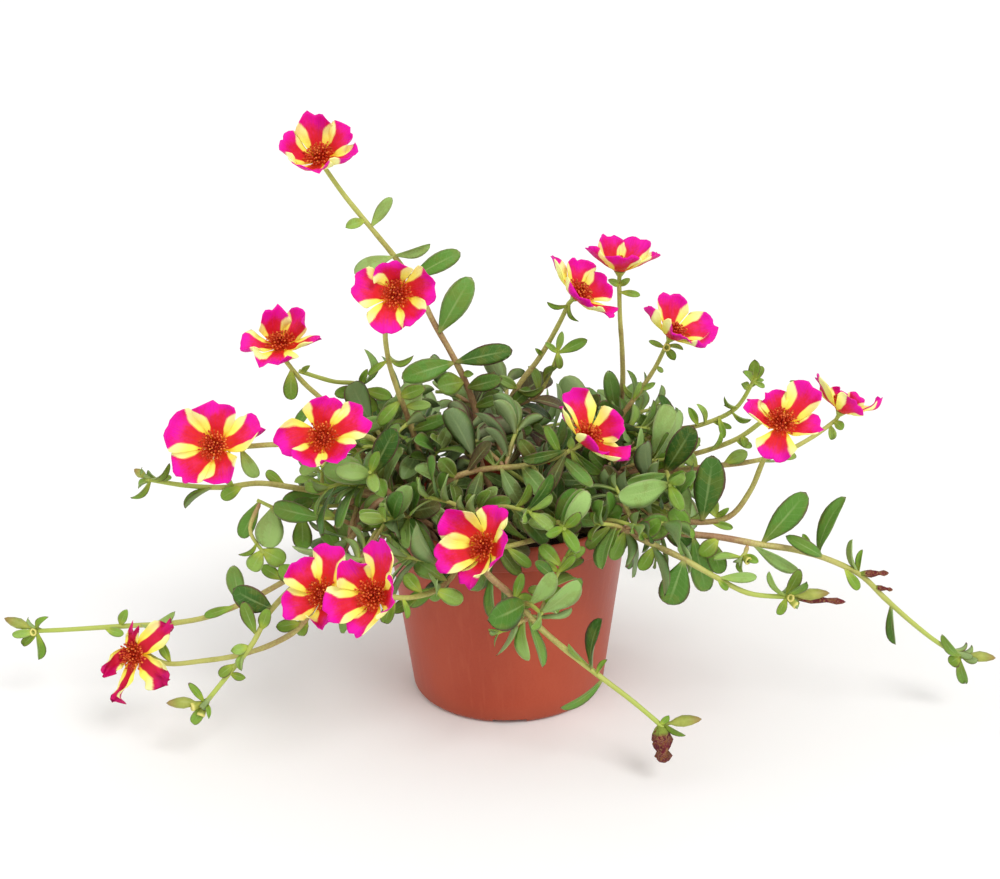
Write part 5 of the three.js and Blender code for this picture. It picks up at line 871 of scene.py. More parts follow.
def spot_on(path, index, part):
    """The spot a part of the way from one step of a path to the next."""
    one, other = path[index], path[index + 1]
    mixed = [start + (end - start) * part for start, end in (
        (one.place, other.place), (one.across, other.across), (one.beside, other.beside))]
    radius = (1 - part) * one.radius + part * other.radius
    heading = unit(other.place - one.place)
    return Step(mixed[0], heading, unit(mixed[1]), unit(mixed[2]), radius, one.sides, part)


def outwards(spot, turn):
    return spot.across * math.sin(turn) + spot.beside * math.cos(turn)


def foot_at(spot, direction):
    """Where something that grows towards a direction leaves the stem's skin."""
    turn = math.atan2(direction @ spot.across, direction @ spot.beside) + 2 * math.pi
    side = math.floor(turn * spot.sides / (2 * math.pi))
    middle = (side + 0.5) * 2 * math.pi / spot.sides
    half_flat = spot.radius * math.sin(math.pi / spot.sides)
    shift = spot.part if spot.part < 0.5 else spot.part - 1
    return (spot.place + outwards(spot, middle) * spot.radius * math.cos(math.pi / spot.sides)
            + outwards(spot, middle + math.pi / 2) * half_flat * shift)


# ---------------------------------------------------------------- how the plant grows
#
# Leaves, twigs and shoots are placed on their stems by the plant's own habit: leaves in turn
# round the stem, shoots inside the bush, and nothing through another stem, a bloom or the pot.

EYE_RADIUS = 3.2
EYE_THICKNESS = 1.5
CALYX = dict(length=4.2, neck=2.52, top=3.1, bottom=1.2)
STRAIGHT_NECK = 6
PETAL_REACH = 23
PETAL_FULLNESS = 1.2
PETAL_BEND = dict(out=0.36, up=0.1)
PETAL_ROOM = 0.45
BUSH = dict(radius=92, height=54, middle=92, heart=0.4, rim=0.6)
ABOVE_SOIL = dict(root=2.5, stem=3, bush=4)

# Everything that has grown is kept as balls, so that nothing grows through anything else.
CELL = 4.4
BALL_STEP = 2.2
BLADE_BALL = 1.25
STALK_BALLS = (0.12, 0.24)
BLADE = dict(start=0.35, end=0.99, least=0.5, widen=1.6, narrow=2.2)
BLOOM_ROWS = 9
BLOOM_COLUMNS = 3
SHORT_WAY = 0.02
PETAL_MARGIN = 0.3
STEM_MARGIN = 0.9
POT_MARGIN = 0.6
GROUND_MARGIN = 1
OWN_ROOM = 2.0

# The habit of leaves and shoots. SHOOT: how far out in the bush it may start and end, how
# steeply it rises, how much it turns outwards, how it arches, and where its leaves stand.
FIRST_SEED = 11
LEAF_SPACING = 17
LEAF_LENGTH = (19, 28)
LEAF_BREADTH = 0.5
LEAF_LEAN = (0.9, 1.25)
LEAF_BOW = 0.06
LEAF_TURN = 3
FIRST_LEAF = 20
LESSER = 0.7
SLENDEREST = 0.34
DEPTH_SHIFTS = (0, 3, -3, 6, -6, 9)
ROSETTE = dict(lean=0.75, spots=(0.9, 0.7))
TWIG_SPACING = 12
TWIG_LENGTH = (18, 34)
TWIG_START = dict(length=1.5, swell=1.2)
SHOOT = dict(start=0.9, farthest=1.1, rise=(0.1, 0.9), outward=0.5, arch=0.08, first_leaf=8,
             leaves=3)
MOST_TRIES = 12
SPOT_PARTS = (0.1, 0.3, 0.5, 0.7, 0.9)

# No leaf or shoot of the bush grows in front of a bloom, or of these places on the drawing,
# where stems or the pot show. The last number is how wide the place is.
BLOOM_VIEW = dict(depth=8, size=42)
OPEN_VIEWS = [(462, 477, -30, 13), (484, 471, -34, 13), (508, 467, -38, 13), (532, 463, -40, 13),
              (562, 642, -60, 22)]

YOUNG = dict(shoots=3, spacing=6, first_leaf=5, heart=0.1, length=(11, 20))

Leaf = namedtuple("Leaf", "root axis face side length width bow")
Bloom = namedtuple("Bloom", "place facing right up petals")
Petal = namedtuple("Petal", "tip width out base bend")


def placed_bloom(bloom):
    right, up, near = bloom["facing"]
    facing = unit(DRAWN_RIGHT * right + DRAWN_UP * up + TO_VIEWER * near)
    across = across_from(facing, DRAWN_RIGHT)
    return Bloom(at(*bloom["place"]), facing, across, np.cross(facing, across), bloom["petals"])


def petal_tip(bloom, row):
    """A petal's tip lies as far from the eye as the petal is long."""
    u, v, near, _, length = (*row, PETAL_REACH)[:5]
    flat = at(u, v, bloom.place[1]) - bloom.place
    flat = flat - TO_VIEWER * (flat @ TO_VIEWER)
    rest = math.sqrt(max(length * length - flat @ flat, 0))
    return bloom.place + flat + TO_VIEWER * near * rest


def petals_of(bloom):
    """The petals in order round the bloom, each along a curve from the eye to its tip."""
    around = []
    for row in bloom.petals:
        tip = petal_tip(bloom, row)
        out = tip - bloom.place
        around.append((math.atan2(out @ bloom.up, out @ bloom.right), tip, row[3] * PETAL_FULLNESS))
    around.sort(key=lambda petal: petal[0])
    share = 2 * math.pi / len(around)
    offset = sum(petal[0] - index * share for index, petal in enumerate(around)) / len(around)
    petals = []
    for index, (_, tip, width) in enumerate(around):
        turn = offset + index * share
        out = bloom.right * math.cos(turn) + bloom.up * math.sin(turn)
        base = bloom.place + out * EYE_RADIUS
        reach = np.linalg.norm(base - tip)
        bend = base + out * reach * PETAL_BEND["out"] + bloom.facing * reach * PETAL_BEND["up"]
        petals.append(Petal(tip, width, out, base, bend))
    return petals


def along_petal(petal, along):
    back = 1 - along
    return petal.base * back * back + petal.bend * 2 * along * back + petal.tip * along * along


def petal_frame(bloom, petal, along):
    """The place, face and side of a petal at a share of its length."""
    heading = unit(along_petal(petal, along + SHORT_WAY) - along_petal(petal, along - SHORT_WAY))
    face = across_from(heading, bloom.facing - petal.out)
    return along_petal(petal, along), face, np.cross(face, heading)


def half_width_at(petals, index, along, share):
    own = along_petal(petals[index], along)
    left = np.linalg.norm(along_petal(petals[(index + 1) % len(petals)], along) - own)
    right = np.linalg.norm(along_petal(petals[index - 1], along) - own)
    return min(petals[index].width / 2 * share, PETAL_ROOM * min(left, right))


def leaf_place(leaf, along, beside):
    lift = leaf.bow * leaf.length * 4 * along * (1 - along)
    return leaf.root + leaf.axis * leaf.length * along + leaf.side * beside + leaf.face * lift


def make_leaf(root, tip, facing, width, bow):
    length = np.linalg.norm(tip - root)
    axis = unit(tip - root)
    face = across_from(axis, facing)
    return Leaf(root, axis, face, np.cross(face, axis), length, width, bow)


def blade_balls(leaf):
    """A leaf as small balls, each with its place, size and whether it is part of the blade."""
    balls = [(*leaf_place(leaf, along, 0), BLADE_BALL, False) for along in STALK_BALLS]
    start, end, least, widen, narrow = BLADE.values()
    length_steps = math.ceil(leaf.length * (1 - start) / BALL_STEP)
    for row in range(length_steps + 1):
        along = start + (end - start) * row / length_steps
        share = min(1, least + (along - start) * widen, least + (1 - along) * narrow)
        half = leaf.width / 2 * share
        side_steps = math.ceil(half / BALL_STEP)
        for column in range(-side_steps, side_steps + 1):
            place = leaf_place(leaf, along, half * column / side_steps)
            balls.append((*place, BLADE_BALL, True))
    return balls


def path_balls(path):
    balls = []
    for one, other in zip(path, path[1:]):
        count = math.ceil(np.linalg.norm(one.place - other.place) / BALL_STEP)
        for part in range(count):
            place = one.place + (other.place - one.place) * (part / count)
            if not is_buried(place):
                balls.append((*place, other.radius + STEM_MARGIN, False))
    return balls


def bloom_balls(bloom):
    petals = petals_of(bloom)
    balls = []
    for index, petal in enumerate(petals):
        for row in range(BLOOM_ROWS + 1):
            along = row / BLOOM_ROWS
            inside = min(max(along, SHORT_WAY), 1 - SHORT_WAY)
            middle, _, side = petal_frame(bloom, petal, inside)
            half = half_width_at(petals, index, along, 1)
            for column in range(-BLOOM_COLUMNS, BLOOM_COLUMNS + 1):
                place = middle + side * half * column / BLOOM_COLUMNS
                balls.append((*place, BLADE_BALL + PETAL_MARGIN, False))
    return balls


def is_buried(place):
    from_axis = math.hypot(place[0], place[1])
    return place[2] < SOIL_TOP + ABOVE_SOIL["stem"] and from_axis < RIM_RADIUS


def hits_pot(ball):
    x, y, z, size, _ = ball
    from_axis = math.hypot(x, y)
    room = size + POT_MARGIN
    if z < GROUND_MARGIN + room:
        return True
    if z > POT_HEIGHT + room:
        return False
    if from_axis < COLLAR_RADIUS - 3 * WALL - room:
        return z < SOIL_TOP + room
    return from_axis < pot_radius(z) + room


class Space:
    """The balls of everything grown so far, kept by the cell that they lie in."""

    def __init__(self):
        self.cells = {}

    def add(self, balls, owner):
        for ball in balls:
            cell = tuple(math.floor(value / CELL) for value in ball[:3])
            self.cells.setdefault(cell, []).append((*ball, owner))

    def is_clear(self, balls, owner):
        return all(self.is_ball_clear(ball, owner) for ball in balls)

    def is_ball_clear(self, ball, owner):
        if hits_pot(ball):
            return False
        x, y, z, size, blade = ball
        middle = [math.floor(value / CELL) for value in ball[:3]]
        for cell in itertools.product(*(range(index - 1, index + 2) for index in middle)):
            for near_x, near_y, near_z, near_size, near_blade, near_owner in self.cells.get(cell, ()):
                own = near_owner == owner
                if own and not (blade and near_blade):
                    continue
                room = OWN_ROOM if own else size + near_size
                if (x - near_x) ** 2 + (y - near_y) ** 2 + (z - near_z) ** 2 < room * room:
                    return False
        return True


plant = Space()
blooms = [placed_bloom(bloom) for bloom in BLOOMS]
open_views = [(drawn(bloom.place), bloom.place[1] + BLOOM_VIEW["depth"], BLOOM_VIEW["size"])
              for bloom in blooms]
open_views += [(np.array((u, v)), depth, size) for u, v, depth, size in OPEN_VIEWS]


def hides_view(balls):
    places = np.array([ball[:3] for ball in balls])
    sights = drawn(places)
    return any(np.any((places[:, 1] < depth) & (np.linalg.norm(sights - sight, axis=1) < size))
               for sight, depth, size in open_views)


def bush_share(place):
    """How far out in the bush a place is: 0 at its heart and 1 at its outside."""
    out = math.hypot(place[0], place[1]) / BUSH["radius"]
    up = (place[2] - BUSH["middle"]) / BUSH["height"]
    in_bush = place[2] > SOIL_TOP + ABOVE_SOIL["bush"] or out > BUSH["rim"]
    return math.hypot(out, up) if in_bush else 0


def main_route(stem):
    points = [np.array([*stem["root"], SOIL_TOP + ABOVE_SOIL["root"]])]
    points += [at(*place) for place in stem.get("route", [])]
    points += [np.array(place, float) for place in stem.get("course", [])]
    if "bloom" in stem:
        bloom = blooms[stem["bloom"]]
        points.append(bloom.place - bloom.facing * (CALYX["length"] + STRAIGHT_NECK))
        points.append(bloom.place - bloom.facing * (CALYX["length"] + EYE_THICKNESS))
    return points


def nearest_spot(paths, u, v):
    """The spot on a stem, above the soil, that lies nearest to a point of the drawing."""
    spots = [spot_on(path, index, part)
             for path in paths for index in range(len(path) - 1) for part in SPOT_PARTS]
    spots = [spot for spot in spots if not is_buried(spot.place)]
    gaps = np.linalg.norm(drawn(np.array([spot.place for spot in spots])) - (u, v), axis=1)
    return spots[int(np.argmin(gaps))]


def units_per_millimetre(place):
    return LENS / -((place - VIEWER) @ TO_VIEWER)


def turned_about(vector, axis, turn):
    """The vector, turned about an axis that it is square to."""
    return vector * math.cos(turn) + np.cross(axis, vector) * math.sin(turn)


def drawn_leaf(spot, row, shift, turn_sign):
    _, _, u, v, near, seen, bow = row
    tip = at(u, v, spot.place[1] - near - shift)
    root = foot_at(spot, tip - spot.place)
    length = np.linalg.norm(tip - root)
    seen_width = seen / units_per_millimetre(tip)
    width = max(seen_width, length * SLENDEREST)
    axis = unit(tip - root)
    turn = math.acos(min(1, seen_width / width)) * turn_sign
    return make_leaf(root, tip, turned_about(across_from(axis, TO_VIEWER), axis, turn), width, bow)


def add_leaf(plant_node, leaf):
    plant.add(blade_balls(leaf), plant_node.name)
    plant_node.leaves.append(leaf)


def grow_drawn_leaf(plant_node, row):
    spot = nearest_spot(plant_node.paths, row[0], row[1])
    turn_sign = 1 if (row[0] + row[1]) % 2 == 0 else -1
    for shift in DEPTH_SHIFTS:
        leaf = drawn_leaf(spot, row, shift, turn_sign)
        if plant.is_clear(blade_balls(leaf), plant_node.name):
            add_leaf(plant_node, leaf)
            return


def ruled_leaf(spot, side, lean, length):
    """A leaf that grows from one side of the stem and leans away from its heading."""
    out = outwards(spot, (side + 0.5) * math.pi * 2 / spot.sides)
    root = foot_at(spot, out)
    tip = root + (spot.heading * math.cos(lean) + out * math.sin(lean)) * length
    return make_leaf(root, tip, spot.heading, length * LEAF_BREADTH, LEAF_BOW)


def grow_ruled_leaf(plant_node, spot, side, lean, length):
    for attempt in range(spot.sides * 2):
        shrunk = length if attempt < spot.sides else length * LESSER
        leaf = ruled_leaf(spot, side + attempt, lean, shrunk)
        balls = blade_balls(leaf)
        if plant.is_clear(balls, plant_node.name) and not hides_view(balls):
            add_leaf(plant_node, leaf)
            return


def grow_leaves_along(plant_node, path, spacing, start, heart, lengths=LEAF_LENGTH):
    """Leaves along a stem, from a share of the bush outwards, or all along it without a share."""
    walked = 0
    following = start
    side = math.floor(next(plant_node.random) * 4)
    for index in range(len(path) - 1):
        span = np.linalg.norm(path[index].place - path[index + 1].place)
        while following < walked + span:
            spot = spot_on(path, index, (following - walked) / span)
            length = between(plant_node.random, *lengths)
            lean = between(plant_node.random, *LEAF_LEAN)
            side += LEAF_TURN
            following += spacing
            if heart is None or heart <= bush_share(spot.place) <= 1:
                grow_ruled_leaf(plant_node, spot, side, lean, length)
        walked += span


def grow_rosette(plant_node, path, count, length):
    for index in range(count):
        spot = spot_on(path, len(path) - 2, ROSETTE["spots"][index % 2])
        grow_ruled_leaf(plant_node, spot, index, ROSETTE["lean"], length)


def side_path(spot, points):
    """A side stem: it starts as a point inside its stem and is full soon after it leaves it."""
    direction = unit(points[0] - spot.place)
    foot = foot_at(spot, direction)
    start = foot + direction * TWIG_RADIUS * TWIG_START["length"]
    full = TWIG_RADIUS * TWIG_START["swell"]
    path = path_through([start, *points], full, TWIG_RADIUS, TWIG_STEP, TWIG_SIDES)
    return [path[0]._replace(place=foot - direction * ROOT_SINK, radius=0), *path]


def grow_shoot(plant_node, path):
    usable = [index for index, step in enumerate(path[:-1])
              if 0 < bush_share(step.place) < SHOOT["start"]]
    if not usable:
        return
    index = usable[math.floor(next(plant_node.random) * len(usable))]
    spot = spot_on(path, index, between(plant_node.random, SPOT_PARTS[0], SPOT_PARTS[-1]))
    for _ in range(MOST_TRIES):
        turn = next(plant_node.random) * math.pi * 2
        rise = between(plant_node.random, *SHOOT["rise"])
        length = between(plant_node.random, *TWIG_LENGTH)
        outward = unit(np.array([spot.place[0], spot.place[1], 0]))
        way = unit(np.array([math.cos(turn), math.sin(turn), rise]) + outward * SHOOT["outward"])
        middle = spot.place + way * length * 0.5 + np.array([0, 0, length * SHOOT["arch"]])
        tip = spot.place + way * length
        twig = side_path(spot, [middle, tip])
        balls = path_balls(twig)[2:]
        if not BUSH["heart"] <= bush_share(tip) <= SHOOT["farthest"] or hides_view(balls):
            continue
        if not plant.is_clear(balls, plant_node.name):
            continue
        plant.add(balls, plant_node.name)
        plant_node.shoots.append(twig)
        grow_leaves_along(plant_node, twig, TWIG_SPACING, SHOOT["first_leaf"], None)
        grow_rosette(plant_node, twig, SHOOT["leaves"], LEAF_LENGTH[0] * LESSER)
        return


def buried_end(first, root):
    """The straight stretch of a stem that stands in the soil."""
    heading = np.array([0.0, 0, 1])
    across = across_from(heading, first.across)
    place = np.array([*root, SOIL_TOP - ROOT_DEPTH])
    beside = np.cross(across, heading)
    return first._replace(place=place, heading=heading, across=across, beside=beside)


def calyx_steps(last, bloom):
    """The stem widens into the calyx that holds its bloom."""
    across = across_from(bloom.facing, last.across)
    upright = last._replace(
        heading=bloom.facing, across=across, beside=np.cross(across, bloom.facing))
    top = EYE_THICKNESS / 2 + FIT_GAP + 0.1
    return [
        upright._replace(place=bloom.place - bloom.facing * (top + CALYX["neck"]),
                         radius=CALYX["bottom"]),
        upright._replace(place=bloom.place - bloom.facing * top, radius=CALYX["top"]),
    ]


class PlantNode:
    """One stem with all that has grown on it."""

    def __init__(self, stem, index):
        self.name = stem["name"]
        self.stem = stem
        self.random = random_from(index + FIRST_SEED)
        self.leaves = []
        self.shoots = []
        main = path_through(main_route(stem), *stem["thick"], STEM_STEP, STEM_SIDES)
        main.insert(0, buried_end(main[0], stem["root"]))
        if "bloom" in stem:
            main += calyx_steps(main[-1], blooms[stem["bloom"]])
        self.paths = [main]
        for start, *rest in stem.get("twigs", []):
            spot = nearest_spot(self.paths, *start)
            self.paths.append(side_path(spot, [at(*place) for place in rest]))
        for path in self.paths:
            plant.add(path_balls(path), self.name)

    def path_ending_at(self, u, v):
        return min(self.paths, key=lambda path: np.linalg.norm(drawn(path[-1].place) - (u, v)))


def grow_plant():
    """Every stem with its growth, in the order in which the growth takes up its room."""
    nodes = [PlantNode(stem, index) for index, stem in enumerate(STEMS)]
    for index, bloom in enumerate(blooms):
        plant.add(bloom_balls(bloom), f"petals_{index + 1}")
    for plant_node in nodes:
        for row in plant_node.stem.get("leaves", []):
            grow_drawn_leaf(plant_node, row)
    for plant_node in nodes:
        for u, v, count, length in plant_node.stem.get("rosettes", []):
            grow_rosette(plant_node, plant_node.path_ending_at(u, v), count, length)
        main = plant_node.paths[0]
        heart = None if plant_node.stem.get("leafy") else BUSH["heart"]
        grow_leaves_along(plant_node, main, LEAF_SPACING, FIRST_LEAF, heart)
        if heart is None:
            grow_rosette(plant_node, main, SHOOT["leaves"], LEAF_LENGTH[0])
        for _ in range(plant_node.stem["shoots"]):
            grow_shoot(plant_node, main)
    return nodes


def fill_in(plant_node):
    """Young leaves and short shoots between those of the main growth."""
    for _ in range(YOUNG["shoots"]):
        grow_shoot(plant_node, plant_node.paths[0])
    for path in [*plant_node.paths, *plant_node.shoots]:
        grow_leaves_along(plant_node, path, YOUNG["spacing"], YOUNG["first_leaf"],
                          YOUNG["heart"], YOUNG["length"])


plant_nodes = grow_plant()
for plant_node in plant_nodes:
    fill_in(plant_node)

# ---------------------------------------------------------------- stems, leaves and tips
#
# Each stem has grown as one piece with its twigs, leaves, buds, spent flowers and the calyx
# under its bloom. A leaf is a fleshy spoon-shaped blade on a short stalk, dull green above
# with a paler midrib, paler below, and thinly edged with purple brown or pale green.

STEM_SMOOTH_STEP = 2.6
STEM_ROUND_SIDES = 9
STEM_SLIMNESS = 0.88
STEM_KNOBS = 0.3
LEAF_THICKNESS = 1.15
UPPER_SHARE = 0.22
OLD_LENGTH = 19
LEAF_ROWS = (0, 0.05, 0.13, 0.23, 0.35, 0.48, 0.61, 0.73, 0.83, 0.91, 0.97, 1)
LEAF_COLUMNS = (-1, -0.55, 0, 0.55, 1)
WIDEST = 0.63
STALK_SHARE = 0.1
STALK_FLARE = 1.25
TIP_BLUNTNESS = 2.3
LEAF_FOLD = 1.3
LEAF_CURL = 4.0
LEAF_RIPPLE = 4.5
RIPPLES_PER_METRE = 80.0

# The outlines of buds, seed cups and spent flowers: radius and height as shares of their size.
BUD_OUTLINE = ((0, 0), (0.34, 0.02), (0.3, 0.26), (0.72, 0.38), (1, 0.55), (0.84, 0.74),
               (0.42, 0.92), (0, 1))
CUP_OUTLINE = ((0, 0), (0.45, 0.08), (0.8, 0.5), (1, 0.9), (0.9, 1), (0.6, 0.92), (0.46, 0.6),
               (0, 0.5))
SPENT_OUTLINE = ((0, 0), (0.6, 0.1), (0.8, 0.22), (1, 0.42), (0.72, 0.58), (0.5, 0.68),
                 (0.8, 0.84), (0.45, 0.95), (0, 1))

# The middle of each seed cup's rim on the drawing, by the stem that it sits on.
SEED_CUPS = {
    "stem_12": ((667, 347.5),),
    "trail_left_long": ((32.5, 632.5),),
    "trail_right_long": ((749, 561.5),),
    "trail_low_left": ((191, 707.5), (200.5, 716)),
    "trail_right_low": ((791.5, 598), (797.5, 606)),
}
CUP_RADIUS = 1.9
CUP_REACH = 3.2


def way_mesh(name, paths):
    """The middle lines of stems as edges, with their thickness and how far along they lie."""
    places = []
    edges = []
    thick = []
    along = []
    for path in paths:
        start = len(places)
        for index, step in enumerate(path):
            places.append(step.place * MM)
            thick.append(step.radius * STEM_SLIMNESS * MM)
            along.append(index / (len(path) - 1))
        edges += [(start + index, start + index + 1) for index in range(len(path) - 1)]
    mesh = bpy.data.meshes.new(name)
    mesh.from_pydata(places, edges, [])
    note(mesh, "thick", thick)
    note(mesh, "along", along)
    return mesh


def note(mesh, name, values, kind="FLOAT"):
    """Writes a value for each point of a mesh, for a tree or a material to read."""
    attribute = mesh.attributes.new(name, kind, "POINT")
    key = "value" if kind == "FLOAT" else "vector"
    attribute.data.foreach_set(key, np.asarray(values, np.float32).ravel())


def note_rows(mesh, names, rows):
    """Writes a row of values for each point, one under each name."""
    for name, values in zip(names, zip(*rows)):
        note(mesh, name, values)


def read(tree, name, kind="FLOAT"):
    return node(tree, "GeometryNodeInputNamedAttribute", {"Name": name}, data_type=kind).outputs[0]


def read_vector(tree, name):
    return read(tree, name, "FLOAT_VECTOR")


def stem_tree():
    tree, given = geometry_tree("stem_round_its_way", [
        ("Sides", "Int"), ("Step", "Float"), ("Knobbliness", "Float"), ("Finish", "Material")])
    way = node(tree, "GeometryNodeMeshToCurve", {"Mesh": given["Geometry"]}).outputs[0]
    smooth = node(tree, "GeometryNodeCurveSplineType", {"Curve": way}, spline_type="CATMULL_ROM")
    fine = node(tree, "GeometryNodeResampleCurve", {
        "Curve": smooth.outputs[0], "Length": given["Step"]}, mode="LENGTH")
    knobs = node(tree, "ShaderNodeTexNoise", {"Scale": 160.0, "Detail": 1.0}).outputs[0]
    off_even = maths(tree, "SUBTRACT", knobs, 0.5)
    swell = maths(tree, "MULTIPLY_ADD", off_even, given["Knobbliness"], 1.0)
    radius = times(tree, read(tree, "thick"), swell)
    ring = node(tree, "GeometryNodeCurvePrimitiveCircle", {
        "Resolution": given["Sides"], "Radius": 1.0})
    tube = node(tree, "GeometryNodeCurveToMesh", {
        "Curve": fine.outputs[0], "Profile Curve": ring.outputs[0], "Scale": radius,
        "Fill Caps": True}).outputs[0]
    finish_tree(tree, tube, given["Finish"])
    return tree


def blade_share(along):
    """The share of a leaf's full half width at a share of its length."""
    if along < WIDEST:
        opening = math.sin(math.pi / 2 * (along / WIDEST) ** STALK_FLARE)
        return STALK_SHARE + (1 - STALK_SHARE) * opening
    return math.sqrt(max(0, 1 - ((along - WIDEST) / (1 - WIDEST)) ** TIP_BLUNTNESS))


def blade_mesh():
    """A leaf one unit long and two wide. It folds up along its midrib and its tip curls down."""
    points = []
    notes = []
    index_of = {}
    for row, along in enumerate(LEAF_ROWS):
        share = max(blade_share(along), 0.04)
        for column, beside in enumerate(LEAF_COLUMNS):
            for upper in (1, 0):
                on_edge = abs(beside) == 1 or row in (0, len(LEAF_ROWS) - 1)
                if on_edge and upper == 0:
                    index_of[row, column, 0] = index_of[row, column, 1]
                    continue
                index_of[row, column, upper] = len(points)
                swell = (1 - beside ** 2) ** 0.5 * min(1, (1 - along) * 6)
                below = (1 - UPPER_SHARE) * swell * (1.1 - 0.5 * along)
                above = UPPER_SHARE * swell if upper else -below
                lift = LEAF_FOLD * abs(beside) ** 1.3 * share
                lift -= LEAF_CURL * max(along - 0.55, 0) ** 2
                points.append((beside * share, along, above + lift))
                notes.append((along, beside, upper))
    faces = []
    for row in range(len(LEAF_ROWS) - 1):
        for column in range(len(LEAF_COLUMNS) - 1):
            for upper in (1, 0):
                corners = [index_of[row, column, upper], index_of[row, column + 1, upper],
                           index_of[row + 1, column + 1, upper], index_of[row + 1, column, upper]]
                faces.append(corners if upper else corners[::-1])
    mesh = bpy.data.meshes.new("blade")
    mesh.from_pydata(points, [], faces)
    note_rows(mesh, ("along", "beside", "upper"), notes)
    return mesh


def turned_tip(name, outline, steps, ribs=0, rib_depth=0, twist=0):
    """A shape turned round its length, one unit long, with ribs that may wind round it."""
    mesh = turned_mesh(name, outline, steps)
    notes = []
    for vertex in mesh.vertices:
        x, y, z = (value / MM for value in vertex.co)
        around = math.atan2(y, x)
        turn = around + twist * z
        swell = math.hypot(x, y) * (1 + rib_depth * math.cos(ribs * around))
        vertex.co = (swell * math.cos(turn), z, -swell * math.sin(turn))
        notes.append((z, 0, 1))
    note_rows(mesh, ("along", "beside", "upper"), notes)
    return mesh


def set_out_tree():
    """Sets a shape out on points, each with its own axis, face, size and bow."""
    tree, given = geometry_tree("grown_on_points", [
        ("Shape", "Object"), ("Ripple", "Float"), ("Ripple scale", "Float"), ("Seed", "Int"),
        ("Finish", "Material")])
    tone = node(tree, "FunctionNodeRandomValue", {"Seed": given["Seed"]}, data_type="FLOAT")
    toned = node(tree, "GeometryNodeStoreNamedAttribute", {
        "Geometry": given["Geometry"], "Name": "tone", "Value": tone.outputs[1]},
                 data_type="FLOAT").outputs[0]
    turn = node(tree, "FunctionNodeAxesToRotation", {
        "Primary Axis": read_vector(tree, "face"), "Secondary Axis": read_vector(tree, "axis")},
                primary_axis="Z", secondary_axis="Y").outputs[0]
    shape = node(tree, "GeometryNodeObjectInfo", {"Object": given["Shape"]}).outputs["Geometry"]
    copies = node(tree, "GeometryNodeInstanceOnPoints", {
        "Points": toned, "Instance": shape, "Rotation": turn,
        "Scale": read_vector(tree, "size")}).outputs[0]
    real = node(tree, "GeometryNodeRealizeInstances", {"Geometry": copies}).outputs[0]
    along = read(tree, "along")
    beside = read(tree, "beside")
    length = node(tree, "ShaderNodeSeparateXYZ", {0: read_vector(tree, "size")}).outputs[1]
    arch = times(tree, times(tree, along, maths(tree, "SUBTRACT", 1.0, along)), 4.0)
    bowed = times(tree, times(tree, arch, read(tree, "bow")), length)
    wave = node(tree, "ShaderNodeTexNoise", {
        "Scale": given["Ripple scale"], "Detail": 0.0}).outputs[0]
    edge = times(tree, times(tree, beside, beside), along)
    rippled = times(tree, times(tree, edge, maths(tree, "SUBTRACT", wave, 0.5)), given["Ripple"])
    lift = maths(tree, "ADD", bowed, rippled)
    shift = node(tree, "ShaderNodeVectorMath", {0: read_vector(tree, "face"), "Scale": lift},
                 operation="SCALE").outputs[0]
    bent = node(tree, "GeometryNodeSetPosition", {"Geometry": real, "Offset": shift}).outputs[0]
    finish_tree(tree, bent, given["Finish"])
    return tree


def spots_mesh(name, spots):
    """Points for the tree above: rows of place, axis, face, size, bow and youth, in mm."""
    mesh = bpy.data.meshes.new(name)
    mesh.from_pydata([spot[0] * MM for spot in spots], [], [])
    note(mesh, "axis", [spot[1] for spot in spots], "FLOAT_VECTOR")
    note(mesh, "face", [spot[2] for spot in spots], "FLOAT_VECTOR")
    note(mesh, "size", [np.array(spot[3]) * MM for spot in spots], "FLOAT_VECTOR")
    note(mesh, "bow", [spot[4] for spot in spots])
    note(mesh, "young", [spot[5] for spot in spots])
    return mesh


def leaf_spot(leaf):
    place = leaf.root - leaf.axis * ROOT_SINK
    own = noise.noise(Vector(leaf.root * 0.21))
    size = (leaf.width / 2 * (0.92 + 0.3 * own), leaf.length + ROOT_SINK, LEAF_THICKNESS * (1 + own))
    young = min(1, max(0, (OLD_LENGTH - leaf.length) / 8))
    return place, leaf.axis, leaf.face, size, leaf.bow, young


def tip_spots(plant_node, kind):
    """The buds or the spent flowers of a stem."""
    spots = []
    for u0, v0, u1, v1, near, seen in plant_node.stem.get(kind, []):
        root = nearest_spot(plant_node.paths, u0, v0).place
        tip = at(u1, v1, root[1] - near)
        half = seen / units_per_millimetre(tip) / 2
        axis = unit(tip - root)
        size = (half, np.linalg.norm(tip - root), half)
        spots.append((root, axis, any_across(axis), size, 0, 0))
    return spots


def cup_spots(plant_node):
    """The emptied seed cups of a stem, which open to the front."""
    spots = []
    for u, v in SEED_CUPS.get(plant_node.name, ()):
        root = nearest_spot(plant_node.paths, u, v).place
        reach = at(u, v, root[1] - CUP_REACH) - root
        axis = unit(reach)
        size = (CUP_RADIUS, np.linalg.norm(reach), CUP_RADIUS)
        spots.append((root, axis, any_across(axis), size, 0, 0))
    return spots


def attributes(tree, *names):
    for name in names:
        yield node(tree, "ShaderNodeAttribute", attribute_name=name).outputs["Fac"]


def tinted(tree, skin, share, strength, shade):
    """The skin, with a shade laid over a share of it."""
    return blended(tree, times(tree, share, strength), skin, shade)


